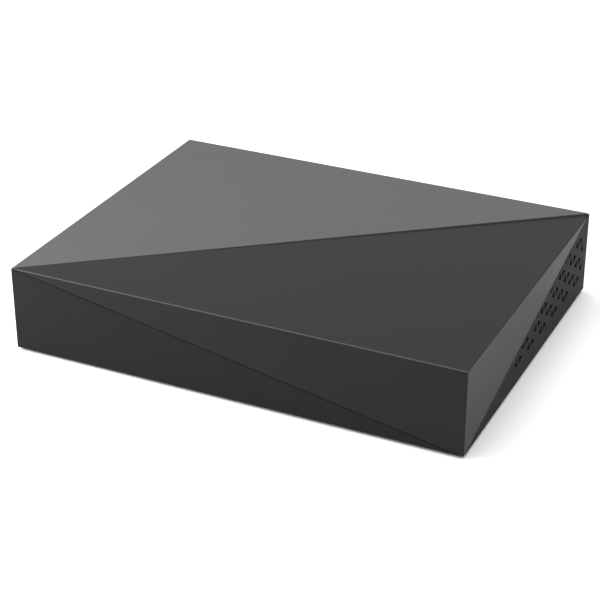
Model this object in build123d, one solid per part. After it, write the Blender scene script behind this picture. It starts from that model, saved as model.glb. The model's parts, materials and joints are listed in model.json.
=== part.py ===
"""A compact digital video recorder: a faceted two-tone plastic case that holds a hard drive, a main
board with its rear connectors, and a small fan behind triangular vents.

Millimetres. X runs to the right seen from the front, Y to the back, Z up. The origin is on the
surface that the feet stand on, below the centre of the whole outline."""

from build123d import *
import math
import os

# ---- Driving dimensions -------------------------------------------------------------------------

WIDTH, DEPTH, BODY_HEIGHT = 260.0, 200.0, 48.3
REAR_REACH = 10.0  # how far the longest rear sockets stand out of the case
FOOT_STAND = 1.7  # height of the underside above the table

LEFT, RIGHT = -WIDTH / 2, WIDTH / 2
FRONT = -(DEPTH + REAR_REACH) / 2
BACK = FRONT + DEPTH
UNDER = FOOT_STAND
TOP = UNDER + BODY_HEIGHT

WALL, FLOOR = 2.4, 2.4
FLOOR_TOP = UNDER + FLOOR
PLATE_UNDER = TOP - 2.6  # underside of the cover's plate
WALL_TOP = PLATE_UNDER - 0.2  # the base's walls stop just below the plate
CLEAR = 0.2  # assembly gap between case parts
SEAM = 0.5  # visible gap between cover and base
FIN = 1.0  # thin top edge of the base, outside the cover's plate
FACET_DROP = 0.8  # fall of the glossy facet's top from front to back

EDGE_ROUND = 0.5  # radius of the cover's glossy edges and of the trim's outer edges

TRIM_THICK = 1.6
TRIM_UNDER = TOP - TRIM_THICK
TRIM_LIP, TRIM_LIP_UNDER = 1.8, PLATE_UNDER + 0.1
TRIM_PEGS_AT = [(-118, -72), (-118, 20), (-60, 5), (-30, 70), (60, 84)]

PANEL_BACK, PANEL_THICK = BACK - 1.5, 1.0  # sheet-steel connector panel
PANEL_FRONT = PANEL_BACK - PANEL_THICK
SOCKET_FACE = PANEL_FRONT - CLEAR  # where the connectors' bodies end

BOARD_X, BOARD_Y = (-113.0, 97.0), (11.9, 91.9)
BOARD_UNDER, BOARD_THICK = 9.1, 1.6
BOARD_TOP = BOARD_UNDER + BOARD_THICK

M3 = 1.5  # radius of the case's and boards' screws
COVER_SCREW_SEAT = 6.0  # height of the cover screws' heads' bearing faces
BOSS_SPLIT = 10.0  # where the cover's bosses meet the base's
COVER_SCREWS_AT = [(-120.0, -95.0), (-120.5, 86.0), (120.0, -95.0), (120.0, 86.0)]
BOARD_SCREWS_AT = [(-108, 17), (-8, 17), (56, 17), (-108, 86), (8, 62), (92, 66)]
FEET_AT = [(-106, -80), (106, -80), (-106, 72), (106, 72)]
FOOT_RADIUS, FOOT_SUNK = 8.0, 0.8

DRIVE_X, DRIVE_Y, DRIVE_Z = (-108.0, 39.0), (-97.0, 4.6), (8.0, 34.1)
DRIVE_HOLES = [
    (DRIVE_X[1] - along, (DRIVE_Y[0] + DRIVE_Y[1]) / 2 + side * 95.25 / 2)
    for along in (41.28, 85.73)
    for side in (-1, 1)
]
DRIVE_SCREW_SEAT = 5.0
SIDE_HOLES_ALONG = (28.5, 70.5, 130.1)  # from the drive's connector end to its side holes
DRIVE_THREAD = 1.78  # radius of its number 6 mounting holes

FAN_SIZE, FAN_THICK = 40.0, 10.0
FAN_X = (115.8, 115.8 + FAN_THICK)
FAN_Y0 = 40.0
FAN_AXIS = (FAN_Y0 + FAN_SIZE / 2, FLOOR_TOP + FAN_SIZE / 2)  # Y and Z of the fan's shaft

RUNNING = 0.05  # radial clearance of a shaft in its bush


# ---- Building blocks ----------------------------------------------------------------------------


def block(x, y, z):
    """A box between pairs of coordinates."""
    middle = [(low + high) / 2 for low, high in (x, y, z)]
    return Pos(*middle) * Box(x[1] - x[0], y[1] - y[0], z[1] - z[0])


def upright(x, y, z, radius):
    """A cylinder along Z, between the pair z."""
    return Pos(x, y, (z[0] + z[1]) / 2) * Cylinder(radius, z[1] - z[0])


def lengthwise(x, z, y, radius):
    """A cylinder along Y, between the pair y."""
    return Pos(x, (y[0] + y[1]) / 2, z) * Rot(90, 0, 0) * Cylinder(radius, y[1] - y[0])


def crosswise(y, z, x, radius):
    """A cylinder along X, between the pair x."""
    return Pos((x[0] + x[1]) / 2, y, z) * Rot(0, 90, 0) * Cylinder(radius, x[1] - x[0])


def joined(solids):
    """One shape from a list, fused where its members meet."""
    first, *rest = list(solids)
    return first + rest if rest else first


def around(middle, size):
    """The pair of coordinates that spans size about middle."""
    return (middle - size / 2, middle + size / 2)


def pan_screw(at, down, head, shank):
    """A pan-head screw. at is the head's bearing point, down the way the shank goes, and head and
    shank are each (radius, length)."""
    body = Pos(0, 0, -shank[1] / 2) * Cylinder(shank[0], shank[1])
    cap = Pos(0, 0, head[1] / 2) * Cylinder(head[0], head[1])
    cap = fillet(cap.edges().group_by(Axis.Z)[-1], head[1] * 0.45)
    arm = Pos(0, 0, head[1]) * Box(head[0] * 1.1, 0.7, 1.4)
    return Plane(at, z_dir=-Vector(*down)) * (body + cap - arm - Rot(0, 0, 90) * arm)


def swept_tube(points, radius):
    """A tube along straight runs joined by arcs as large as the runs allow."""
    corners = [Vector(*p) for p in points]
    radii = []
    for before, here, after in zip(corners, corners[1:], corners[2:]):
        turn = math.radians((here - before).get_angle(after - here))
        radii.append(0.45 * min((here - before).length, (after - here).length) / math.tan(turn / 2))
    path = FilletPolyline(*corners, radius=radii)
    section = Plane(corners[0], z_dir=corners[1] - corners[0]) * Circle(radius)
    print(f"tube {radius * 2:.2f} arcs {[round(r, 1) for r in radii]} length {path.length:.1f}")
    return sweep(section, path)


# ---- The seam that splits cover from base -------------------------------------------------------
# A plane through three corners of the case: top front left, bottom front right and top back right.
# The cover has the corner at the top front right.

SPACE = block((LEFT - 20, RIGHT + 20), (FRONT - 20, BACK + 20), (UNDER - 20, TOP + 20))
SEAM_NORMAL = Vector(-1 / WIDTH, 1 / DEPTH, -1 / BODY_HEIGHT).normalized()
CORNER = Vector(LEFT, FRONT, TOP)


def seam_plane(offset):
    return Plane(CORNER + SEAM_NORMAL * offset, z_dir=SEAM_NORMAL)


def base_side(offset=0.0):
    """All space on the base's side of the seam plane, moved by offset towards the base."""
    return split(SPACE, bisect_by=seam_plane(offset), keep=Keep.TOP)


def cover_side(offset=0.0):
    return split(SPACE, bisect_by=seam_plane(offset), keep=Keep.BOTTOM)


def back_left(z, setback=0.0):
    """A prism over the light triangle of the top, from the diagonal to the back left corner."""
    along = Vector(WIDTH, DEPTH, 0).normalized()
    inward = Vector(-along.Y, along.X, 0) * setback
    a = Vector(LEFT, FRONT, 0) - along * 20 + inward
    b = Vector(RIGHT, BACK, 0) + along * 20 + inward
    outline = Polyline(a, b, (LEFT - 40, BACK + 40, 0), close=True)
    return Pos(0, 0, z[0]) * extrude(make_face(outline), z[1] - z[0])


def wall_strips(inner, z, outer=0.0):
    """The strips along the front and right walls from depth outer to depth inner."""
    front = block((LEFT, RIGHT - outer), (FRONT + outer, FRONT + inner), z)
    right = block((RIGHT - inner, RIGHT - outer), (FRONT + outer, BACK), z)
    return front + right


# ---- Vents --------------------------------------------------------------------------------------

VENT_PITCH, VENT_ROW_STEP = 20.4, 6.05
VENT_WIDE, VENT_TALL = 5.1, 5.6  # along the case, and of the upright edge
VENT_OFFSET = 1.2  # from a pair's middle to its upright edges
VENT_LOW_Z, VENT_FIRST = UNDER + 12.6, 80.3  # lowest row's height, and its first pair from the front
# Each row from the bottom: (stagger in half pitches, first and last pair, has only the front-pointing
# one at its back end, has only the back-pointing one at its front end)
VENT_ROWS = [
    (0, 0, 5, False, False),
    (1, 0, 4, True, False),
    (0, 2, 5, False, False),
    (1, 3, 4, True, True),
    (0, 4, 5, False, False),
]
VENT_SEAM_LAND = 1.9  # plastic left between a vent and the seam


def vent_triangle(way, distance, z):
    """A rounded triangle on the case's side, its tip pointing to the front (-1) or back (+1)."""
    edge = FRONT + distance + way * VENT_OFFSET
    tip = edge + way * VENT_WIDE
    outline = Polyline((edge, z - VENT_TALL / 2), (edge, z + VENT_TALL / 2), (tip, z), close=True)
    face = make_face(outline)
    return fillet(face.vertices(), 0.45)


def vent_field():
    """The cutters of one side's vents, along X through the whole case."""
    faces = []
    for row, (stagger, first, last, extra_back, extra_front) in enumerate(VENT_ROWS):
        z = VENT_LOW_Z + row * VENT_ROW_STEP
        start = VENT_FIRST + stagger * VENT_PITCH / 2
        for k in range(first, last + 1):
            faces += [vent_triangle(way, start + k * VENT_PITCH, z) for way in (-1, 1)]
        if extra_back:
            faces.append(vent_triangle(-1, start + (last + 1) * VENT_PITCH, z))
        if extra_front:
            faces.append(vent_triangle(1, start + (first - 1) * VENT_PITCH, z))
    side = Plane(origin=(0, 0, 0), x_dir=(0, 1, 0), z_dir=(1, 0, 0))
    return [extrude(side * face, WALL + 2) for face in faces]


# ---- Case ---------------------------------------------------------------------------------------


def base_shell():
    shell = block((LEFT, RIGHT), (FRONT, BACK), (UNDER, WALL_TOP))
    shell -= block((LEFT + WALL, RIGHT - WALL), (FRONT + WALL, BACK + 1), (FLOOR_TOP, TOP))
    shell += wall_strips(FIN, (UNDER, TOP)) & base_side(SEAM)
    shell -= wall_strips(WALL + CLEAR, (UNDER - 1, TOP + 1), outer=-1) & cover_side(SEAM)
    # A tongue behind the cover's skirts closes the seam to light and dust.
    height, depth = (UNDER, WALL_TOP), WALL + 1.3
    shell += wall_strips(depth, height, outer=WALL + 0.3) & cover_side(SEAM) & base_side(-2.6)
    shell += wall_strips(depth, height, outer=WALL - 0.5) & base_side(SEAM) & cover_side(1.5)

    bosses = [(COVER_SCREWS_AT, (UNDER, BOSS_SPLIT), 4.5)]
    bosses.append((BOARD_SCREWS_AT, (FLOOR_TOP, BOARD_UNDER), 3.2))
    bosses.append((DRIVE_HOLES, (FLOOR_TOP, DRIVE_Z[0]), 5.5))
    for places, z, radius in bosses:
        for x, y in places:
            shell += upright(x, y, z, radius)
    # Rails that locate the drive, and the pocket that holds the fan on edge
    rail_wide, rail_gap, rail_thick = 12, 0.3, 2.0
    behind = (DRIVE_Y[1] + rail_gap, DRIVE_Y[1] + rail_thick)
    before = (DRIVE_Y[0] - rail_thick, DRIVE_Y[0] - rail_gap)
    for x in (-85, 15):
        for y in (behind, before):
            shell += block(around(x, rail_wide), y, (FLOOR_TOP, 14))
    fan_end, clip, grip = FAN_Y0 + FAN_SIZE, 2.2, 2.5
    pocket = (FLOOR_TOP, 30)
    beside, inside = (FAN_X[0] - clip, FAN_X[1]), (FAN_X[0] - clip, FAN_X[0] - CLEAR)
    shell += block(beside, (FAN_Y0 - clip, FAN_Y0 - CLEAR), pocket)
    shell += block(beside, (fan_end + CLEAR, fan_end + 2.0), pocket)
    shell += block(inside, (FAN_Y0 - clip, FAN_Y0 + grip), pocket)
    shell += block(inside, (fan_end - grip, fan_end + 2.0), pocket)
    # Ribs on the side walls and floor either side of the connector panel
    for y in ((PANEL_FRONT - 1.6, PANEL_FRONT - 0.1), (PANEL_BACK + 0.1, BACK)):
        shell += block((LEFT + WALL, LEFT + WALL + 1.4), y, (FLOOR_TOP, WALL_TOP))
        shell += block((RIGHT - WALL - 1.4, RIGHT - WALL), y, (FLOOR_TOP, 40))
        shell += block((LEFT + WALL, RIGHT - WALL), y, (FLOOR_TOP, FLOOR_TOP + 1.4))

    below = UNDER - 1
    bores = [(COVER_SCREWS_AT, (below, BOSS_SPLIT + 1), 1.7)]
    bores.append((COVER_SCREWS_AT, (below, COVER_SCREW_SEAT), 3.1))
    bores.append((BOARD_SCREWS_AT, (FLOOR_TOP + 0.6, BOARD_UNDER + 1), M3 + 0.05))
    bores.append((DRIVE_HOLES, (below, DRIVE_Z[0] + 1), 1.9))
    bores.append((DRIVE_HOLES, (below, DRIVE_SCREW_SEAT), 3.9))
    bores.append((FEET_AT, (below, UNDER + FOOT_SUNK), FOOT_RADIUS + 0.3))
    for places, z, radius in bores:
        for x, y in places:
            shell -= upright(x, y, z, radius)
    shell -= [  # floor slots below the open space beside the drive, and below the board
        block(around(x, 2.4), (-70, -14), (UNDER - 1, FLOOR_TOP + 1)) for x in range(60, 96, 6)
    ]
    shell -= [block(around(x, 2.4), (32, 56), (UNDER - 1, FLOOR_TOP + 1)) for x in range(-80, -30, 6)]

    vents = vent_field()
    right_vents = [Pos(RIGHT - WALL - 1, 0, 0) * v for v in vents]
    keep_out = cover_side(VENT_SEAM_LAND)
    shell -= joined(right_vents) - keep_out
    shell -= [Pos(LEFT - 1, 0, 0) * v for v in vents]
    return shell


def cover_outline():
    """The cover's outer form: the whole case's, with a facet that falls away from the front edge, so
    that the trim stands proud of it towards the back, and with its three glossy edges rounded."""
    outline = block((LEFT, RIGHT), (FRONT, BACK), (UNDER, TOP))
    falling = Vector(0, DEPTH, -FACET_DROP)
    facet = Plane((0, FRONT, TOP), x_dir=(1, 0, 0), z_dir=Vector(1, 0, 0).cross(falling))
    outline = split(outline, bisect_by=facet, keep=Keep.BOTTOM)
    front, right, top = (
        {e for e in outline.edges() if near(e.center())}
        for near in (lambda c: c.Y < FRONT + 1, lambda c: c.X > RIGHT - 1, lambda c: c.Z > TOP - 1)
    )
    return fillet((front & top) | (front & right) | (right & top), EDGE_ROUND)


def top_cover():
    cover = block((LEFT, RIGHT), (FRONT, BACK), (PLATE_UNDER, TOP))
    cover += wall_strips(WALL, (UNDER, TOP)) & cover_side()
    cover -= wall_strips(FIN + CLEAR, (UNDER - 1, TOP + 1), outer=-1) & base_side()
    cover &= cover_outline()
    cover -= back_left((TRIM_UNDER, TOP + 1), -0.1)
    edge = TRIM_LIP + 0.1
    rim = block((LEFT - 1, LEFT + edge), (FRONT - 1, BACK + 1), (PLATE_UNDER - 1, TOP + 1))
    rim += block((LEFT - 1, RIGHT + 1), (BACK - edge, BACK + 1), (PLATE_UNDER - 1, TOP + 1))
    cover -= rim & back_left((PLATE_UNDER - 1, TOP + 1), -0.1)

    for x, y in COVER_SCREWS_AT:
        cover += upright(x, y, (BOSS_SPLIT + 0.1, PLATE_UNDER), 3.6)
    for y in (-60, -20, 30):  # stiffening ribs under the plate
        cover += block((LEFT + 12, RIGHT - 12), around(y, 1.4), (PLATE_UNDER - 1.8, PLATE_UNDER))
    for x, y in COVER_SCREWS_AT:
        cover -= upright(x, y, (BOSS_SPLIT - 1, BOSS_SPLIT + 12), M3 + 0.05)
    for x, y in TRIM_PEGS_AT:
        cover -= upright(x, y, (PLATE_UNDER - 1, TRIM_UNDER + 1), 1.6)
    return cover


def top_trim_panel():
    front_end, right_end = FRONT + FIN + CLEAR, RIGHT - FIN - CLEAR
    trim = block((LEFT, right_end), (front_end, BACK), (TRIM_UNDER, TOP))
    trim &= back_left((TRIM_UNDER - 1, TOP + 1))
    lip = block((LEFT, LEFT + TRIM_LIP), (front_end, BACK), (TRIM_LIP_UNDER, TRIM_UNDER))
    lip += block((LEFT, right_end), (BACK - TRIM_LIP, BACK), (TRIM_LIP_UNDER, TRIM_UNDER))
    trim += lip & back_left((TRIM_LIP_UNDER - 1, TRIM_UNDER + 1))
    rim = trim.edges().group_by(Axis.Z)[-1]
    outer = rim.filter_by(lambda e: abs(e.center().X - LEFT) < 0.01 or abs(e.center().Y - BACK) < 0.01)
    trim = fillet(outer, EDGE_ROUND)
    for x, y in TRIM_PEGS_AT:
        trim += upright(x, y, (PLATE_UNDER, TRIM_UNDER), 1.5)
        trim += upright(x, y, (PLATE_UNDER - 0.8, PLATE_UNDER), 2.5)
    return trim


def rubber_feet():
    feet = []
    for x, y in FEET_AT:
        foot = upright(x, y, (0, UNDER + FOOT_SUNK), FOOT_RADIUS)
        feet.append(chamfer(foot.edges().group_by(Axis.Z)[0], 0.6))
    return feet


def cover_screws():
    head, shank = (2.75, 2.2), (M3, 12.0)
    return [pan_screw((x, y, COVER_SCREW_SEAT), (0, 0, 1), head, shank) for x, y in COVER_SCREWS_AT]


# ---- Main board and what is soldered to it ------------------------------------------------------

CHIP, CHIP_SIZE, CHIP_TALL, PAD_TALL = (-24.0, 44.0), 19.0, 1.6, 0.5  # the processor and its pad
SINK_SIZE, SINK_TALL, FIN_THICK, FIN_GAPS = 37.0, 14.0, 1.2, 8
MEMORY_AT, MEMORY_SIZE = [(x, y) for x in (-58, -70) for y in (34, 52)], (9.0, 13.5, 1.2)
FLASH_AT, FLASH_SIZE = (-54, 19), (5.2, 5.3, 1.8)
DECODERS_AT, DECODER_SIZE = [(38, 58), (60, 58)], (12, 12, 1.4)
BIG_CAN, SMALL_CAN = (4.0, 11.5), (3.15, 7.7)  # radius and height
CANS = [(-98, 60, *BIG_CAN), (-88, 60, *BIG_CAN), (-98, 46, *SMALL_CAN), (-88, 46, *SMALL_CAN)]
CANS += [(24, 34, *SMALL_CAN), (84, 52, *SMALL_CAN)]
INDUCTORS_AT, INDUCTOR_SIZE, INDUCTOR_TALL = [(-94, 30), (-82, 30), (-94, 19)], 7.0, 4.0
CELL_AT, CELL_RADIUS, CELL_SEAT = (20.0, 48.0), 10.0, 1.0
BUZZER_AT, BUZZER_RADIUS, BUZZER_TALL = (78, 32), 6.0, 8.5


def main_board():
    board = block(BOARD_X, BOARD_Y, (BOARD_UNDER, BOARD_TOP))
    board -= [upright(x, y, (BOARD_UNDER - 1, BOARD_TOP + 1), 1.6) for x, y in BOARD_SCREWS_AT]
    return board


def board_screws():
    head, shank = (2.8, 1.8), (M3, 5.8)
    return [pan_screw((x, y, BOARD_TOP), (0, 0, -1), head, shank) for x, y in BOARD_SCREWS_AT]


def processor():
    body = block(around(CHIP[0], CHIP_SIZE), around(CHIP[1], CHIP_SIZE), (BOARD_TOP, BOARD_TOP + CHIP_TALL))
    return chamfer(body.edges().group_by(Axis.Z)[-1], 0.3)


def thermal_pad():
    size, low = CHIP_SIZE - 1, BOARD_TOP + CHIP_TALL
    return block(around(CHIP[0], size), around(CHIP[1], size), (low, low + PAD_TALL))


def heat_sink():
    low = BOARD_TOP + CHIP_TALL + PAD_TALL
    sink = block(around(CHIP[0], SINK_SIZE), around(CHIP[1], SINK_SIZE), (low, low + SINK_TALL))
    between = (low + 2.4, low + SINK_TALL + 1)
    pitch = (SINK_SIZE - FIN_THICK) / FIN_GAPS
    for k in range(FIN_GAPS):
        middle = CHIP[0] - SINK_SIZE / 2 + FIN_THICK / 2 + (k + 0.5) * pitch
        sink -= block(around(middle, pitch - FIN_THICK), around(CHIP[1], SINK_SIZE + 2), between)
    for k in (-1, 1):  # cross cuts, which leave pin-like fins
        sink -= block(around(CHIP[0], SINK_SIZE + 2), around(CHIP[1] + k * 6.5, 1.6), between)
    return sink


def flat_chip(x, y, wide, deep, tall):
    body = block(around(x, wide), around(y, deep), (BOARD_TOP, BOARD_TOP + tall))
    top = BOARD_TOP + tall
    dot = upright(x - wide / 2 + 1.4, y - deep / 2 + 1.4, (top - 0.15, top + 1), 0.5)
    return chamfer(body.edges().group_by(Axis.Z)[-1], 0.2) - dot


def memory_chips():
    memory = [flat_chip(x, y, *MEMORY_SIZE) for x, y in MEMORY_AT]
    return memory + [flat_chip(*FLASH_AT, *FLASH_SIZE)]


def video_decoders():
    return [flat_chip(x, y, *DECODER_SIZE) for x, y in DECODERS_AT]


def electrolytic_capacitors():
    cans = []
    for x, y, radius, tall in CANS:
        can = upright(x, y, (BOARD_TOP, BOARD_TOP + tall), radius)
        can = fillet(can.edges().group_by(Axis.Z)[-1], 0.5)
        for turn in (0, 90):  # the cross that lets the can vent
            groove = Box(radius * 1.3, 0.3, 0.6)
            can -= Pos(x, y, BOARD_TOP + tall) * Rot(0, 0, turn) * groove
        cans.append(can)
    return cans


def power_inductors():
    coils = []
    top = BOARD_TOP + INDUCTOR_TALL
    for x, y in INDUCTORS_AT:
        body = block(around(x, INDUCTOR_SIZE), around(y, INDUCTOR_SIZE), (BOARD_TOP, top))
        body = chamfer(body.edges().filter_by(Axis.Z), 1.2)
        coils.append(body - upright(x, y, (top - 0.4, top + 1), 2.6))
    return coils


def coin_cell_holder():
    x, y = CELL_AT
    hollow = (BOARD_TOP + CELL_SEAT, BOARD_TOP + 6)
    holder = upright(x, y, (BOARD_TOP, BOARD_TOP + 4.6), CELL_RADIUS + 1.3)
    holder -= upright(x, y, hollow, CELL_RADIUS + 0.1)
    return holder - block(around(x, 9), (y - 14, y), hollow)


def coin_cell():
    x, y = CELL_AT
    low = BOARD_TOP + CELL_SEAT
    cell = upright(x, y, (low, low + 2.4), CELL_RADIUS)
    cell = fillet(cell.edges().group_by(Axis.Z)[-1], 0.5)
    return cell + upright(x, y, (low + 2.4, low + 3.2), CELL_RADIUS - 1.6)


def buzzer():
    top = BOARD_TOP + BUZZER_TALL
    body = upright(*BUZZER_AT, (BOARD_TOP, top), BUZZER_RADIUS)
    body = fillet(body.edges().group_by(Axis.Z)[-1], 0.6)
    return body - upright(*BUZZER_AT, (BOARD_TOP + 5, top + 0.5), 1.1)


# ---- Rear sockets -------------------------------------------------------------------------------

BNC_COLUMNS, BNC_ROWS = (33.0, 50.0, 67.0, 84.0), (20.2, 36.2)
BNC_TIP = BACK + REAR_REACH
BNC_PLACES = [(x, z) for x in BNC_COLUMNS for z in BNC_ROWS]
BNC_RADIUS, BNC_BORE, BNC_PIN = 4.8, 4.05, 1.0  # radii of the barrel, its bore and its contact
BNC_LUG_BACK, BNC_LUG_REACH, BNC_LUG_RADIUS = 3.4, 5.5, 1.0  # the bayonet lugs
BNC_ROOT = SOCKET_FACE + 1.7  # where a barrel's bore starts
AUDIO_X, AUDIO_ROWS, AUDIO_RADIUS, AUDIO_BORE = 15.0, (18.7, 32.7), 4.15, 3.55
AUDIO_ROOT = PANEL_BACK + 0.1
VGA_X, VGA_Z, VGA_SCREW_SPREAD = -8.0, 17.1, 25.0
HDMI_X, HDMI_WIDE, HDMI_TALL = -36.0, 15.0, 5.6
NET_X, NET_WIDE, NET_TALL, NET_DEEP = -55.0, 16.0, 13.4, 21.3
USB_X, USB_WIDE, USB_TALL, USB_ROWS = -76.0, 14.5, 15.6, (14.7, 22.4)
POWER_X, POWER_Z = -98.0, 17.0
GROUND_AT = (-110.0, 33.0)
SOCKET_TIP = PANEL_BACK + 0.4  # how far the flush sockets' faces stand out


def bnc_housings():
    blocks = []
    for x in BNC_COLUMNS:
        body = block(around(x, 15), (76, SOCKET_FACE), (BOARD_TOP, 44))
        body = chamfer(body.edges().filter_by(Axis.Y), 0.8)
        blocks.append(body - block(around(x, 11), (75, 80), (BOARD_TOP - 1, 41)))
    return blocks


def bnc_barrels():
    barrels = []
    for x, z in BNC_PLACES:
        barrel = lengthwise(x, z, (SOCKET_FACE, BNC_TIP), BNC_RADIUS)
        barrel = chamfer(barrel.edges().filter_by(GeomType.CIRCLE).sort_by(Axis.Y)[-1], 0.3)
        barrel -= lengthwise(x, z, (BNC_ROOT, BNC_TIP + 1), BNC_BORE)
        lug_y = BNC_TIP - BNC_LUG_BACK
        lugs = crosswise(lug_y, z, around(x, 2 * BNC_LUG_REACH), BNC_LUG_RADIUS)
        barrel += lugs - lengthwise(x, z, around(lug_y, 4), 4.4)
        barrels.append(barrel)
    return barrels


def bnc_insulators():
    span = (BNC_ROOT, BNC_TIP - 1.8)
    bore = (span[0] - 1, span[1] + 1)
    return [lengthwise(x, z, span, 2.35) - lengthwise(x, z, bore, BNC_PIN) for x, z in BNC_PLACES]


def bnc_contacts():
    span = (BNC_ROOT, BNC_TIP - 1.4)
    bore = (span[0] + 4, span[1] + 1)
    return [lengthwise(x, z, span, BNC_PIN) - lengthwise(x, z, bore, 0.5) for x, z in BNC_PLACES]


def audio_housing():
    body = block(around(AUDIO_X, 12), (SOCKET_FACE - 12, SOCKET_FACE), (BOARD_TOP, 39.5))
    for z in AUDIO_ROWS:
        body += lengthwise(AUDIO_X, z, (SOCKET_FACE, AUDIO_ROOT), 4.5)
    return body


def audio_shells():
    out, bore = (AUDIO_ROOT, AUDIO_ROOT + 9), (AUDIO_ROOT - 1, AUDIO_ROOT + 10)
    return [
        lengthwise(AUDIO_X, z, out, AUDIO_RADIUS) - lengthwise(AUDIO_X, z, bore, AUDIO_BORE)
        for z in AUDIO_ROWS
    ]


def audio_inserts():
    out, bore = (AUDIO_ROOT, AUDIO_ROOT + 8.4), (AUDIO_ROOT + 0.5, AUDIO_ROOT + 9)
    return [
        lengthwise(AUDIO_X, z, out, AUDIO_BORE) - lengthwise(AUDIO_X, z, bore, 1.65)
        for z in AUDIO_ROWS
    ]


def d_face(y, grow=0.0):
    """The D outline of the monitor socket's shell, larger by grow all round."""
    tall, wide, taper = 7.9 / 2 + grow, 16.3 / 2 + grow, 1.4
    right = [(wide, tall), (wide - taper, -tall)]
    outline = Polyline(*right, *[(-x, z) for x, z in reversed(right)], close=True)
    face = fillet(make_face(outline).vertices(), 2.0 + grow / 2)
    return Plane((VGA_X, y, VGA_Z), x_dir=(1, 0, 0), z_dir=(0, -1, 0)) * face


def d_prism(y, grow=0.0):
    """The D outline between the pair y."""
    return extrude(d_face(y[1], grow), y[1] - y[0])


def vga_shell():
    flange = block(around(VGA_X, 30.8), (PANEL_BACK, PANEL_BACK + 0.8), around(VGA_Z, 12.4))
    flange = fillet(flange.edges().filter_by(Axis.Y), 1.5)
    shell = flange + d_prism((PANEL_BACK, PANEL_BACK + 6.4))
    shell -= d_prism((PANEL_BACK - 1, PANEL_BACK + 8), -0.45)
    for side in (-1, 1):
        shell -= lengthwise(VGA_X + side * VGA_SCREW_SPREAD / 2, VGA_Z, around(PANEL_BACK, 6), 1.6)
    return shell


def vga_insert():
    insert = block(around(VGA_X, 30), (SOCKET_FACE - 9, SOCKET_FACE), (BOARD_TOP, VGA_Z + 6.2))
    insert += d_prism((SOCKET_FACE, PANEL_BACK + 6.0), -0.45)
    for row, count in ((1, 5), (0, 5), (-1, 5)):
        for k in range(count):
            x = VGA_X + (k - 2) * 2.29 + (0.55 if row == 0 else 0)
            insert -= lengthwise(x, VGA_Z + row * 1.98, (PANEL_BACK, PANEL_BACK + 7), 0.5)
    return insert


def vga_jackscrews():
    screws = []
    for side in (-1, 1):
        x = VGA_X + side * VGA_SCREW_SPREAD / 2
        outline = Plane((x, PANEL_BACK + 0.8, VGA_Z), z_dir=(0, 1, 0)) * RegularPolygon(2.7, 6)
        post = extrude(outline, 5.0)
        post += lengthwise(x, VGA_Z, (PANEL_FRONT, PANEL_BACK + 0.8), 1.5)
        screws.append(post - lengthwise(x, VGA_Z, (PANEL_BACK + 1.1, PANEL_BACK + 8), 1.25))
    return screws


def hdmi_outline(shrink):
    wide, tall, slope = HDMI_WIDE / 2 - shrink, HDMI_TALL / 2 - shrink, 1.5
    half = [(wide, tall), (wide, -tall + slope), (wide - slope, -tall)]
    outline = Polyline(*half, *[(-x, z) for x, z in reversed(half)], close=True)
    middle = (HDMI_X, SOCKET_TIP, BOARD_TOP + HDMI_TALL / 2)
    return Plane(middle, x_dir=(1, 0, 0), z_dir=(0, -1, 0)) * make_face(outline)


def hdmi_shell():
    return extrude(hdmi_outline(0), 11.6) - extrude(hdmi_outline(0.35), 11.0)


NET_MOUTH_Y, NET_MOUTH_Z = (SOCKET_TIP - 13.5, SOCKET_TIP + 1), (BOARD_TOP + 2.6, BOARD_TOP + 9.6)


def network_socket():
    deep, tall = (SOCKET_TIP - NET_DEEP, SOCKET_TIP), (BOARD_TOP, BOARD_TOP + NET_TALL)
    body = block(around(NET_X, NET_WIDE), deep, tall)
    body = chamfer(body.edges().filter_by(Axis.Y).group_by(Axis.Z)[-1], 0.5)
    body -= block(around(NET_X, 11.9), NET_MOUTH_Y, NET_MOUTH_Z)
    body -= block(around(NET_X, 6.2), NET_MOUTH_Y, (BOARD_TOP + 1.2, BOARD_TOP + 3))  # latch's way
    lamp_z = (BOARD_TOP + 10.6, BOARD_TOP + 12.4)
    for side in (-1, 1):  # windows of the two indicator lamps
        body -= block(around(NET_X + side * 5.4, 3.0), (SOCKET_TIP - 0.3, SOCKET_TIP + 1), lamp_z)
    return body


def network_contacts():
    wires = []
    for k in range(8):
        x = NET_X + (k - 3.5) * 1.02
        back, high = NET_MOUTH_Y[0], NET_MOUTH_Z[1]
        wires.append(block(around(x, 0.45), (back, back + 8.0), (high - 0.6, high)))
    return wires


def usb_shell():
    shell = block(around(USB_X, USB_WIDE), (76, SOCKET_TIP + 0.2), (BOARD_TOP, BOARD_TOP + USB_TALL))
    shell = fillet(shell.edges().filter_by(Axis.Y), 0.7)
    for z in USB_ROWS:
        shell -= block(around(USB_X, 12.5), (79, SOCKET_TIP + 1), around(z, 5.12))
    return shell


def socket_tongues():
    """The contact carriers inside the video and USB sockets."""
    z = BOARD_TOP + HDMI_TALL / 2
    tongues = [block(around(HDMI_X, 11.6), (SOCKET_TIP - 11.0, SOCKET_TIP - 1.2), (z - 0.1, z + 1.1))]
    for z in USB_ROWS:
        tongues.append(block(around(USB_X, 11.1), (79, SOCKET_TIP - 0.8), (z + 0.1, z + 1.9)))
    return tongues


def power_inlet():
    body = block(around(POWER_X, 9.0), (SOCKET_TIP - 14.2, SOCKET_TIP), (BOARD_TOP, BOARD_TOP + 11))
    body = chamfer(body.edges().filter_by(Axis.Y).group_by(Axis.Z)[-1], 0.8)
    return body - lengthwise(POWER_X, POWER_Z, (SOCKET_TIP - 9.5, SOCKET_TIP + 1), 3.15)


def power_inlet_pin():
    pin = lengthwise(POWER_X, POWER_Z, (SOCKET_TIP - 9.5, SOCKET_TIP - 1.0), 1.05)
    return chamfer(pin.edges().filter_by(GeomType.CIRCLE).sort_by(Axis.Y)[-1], 0.3)


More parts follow.
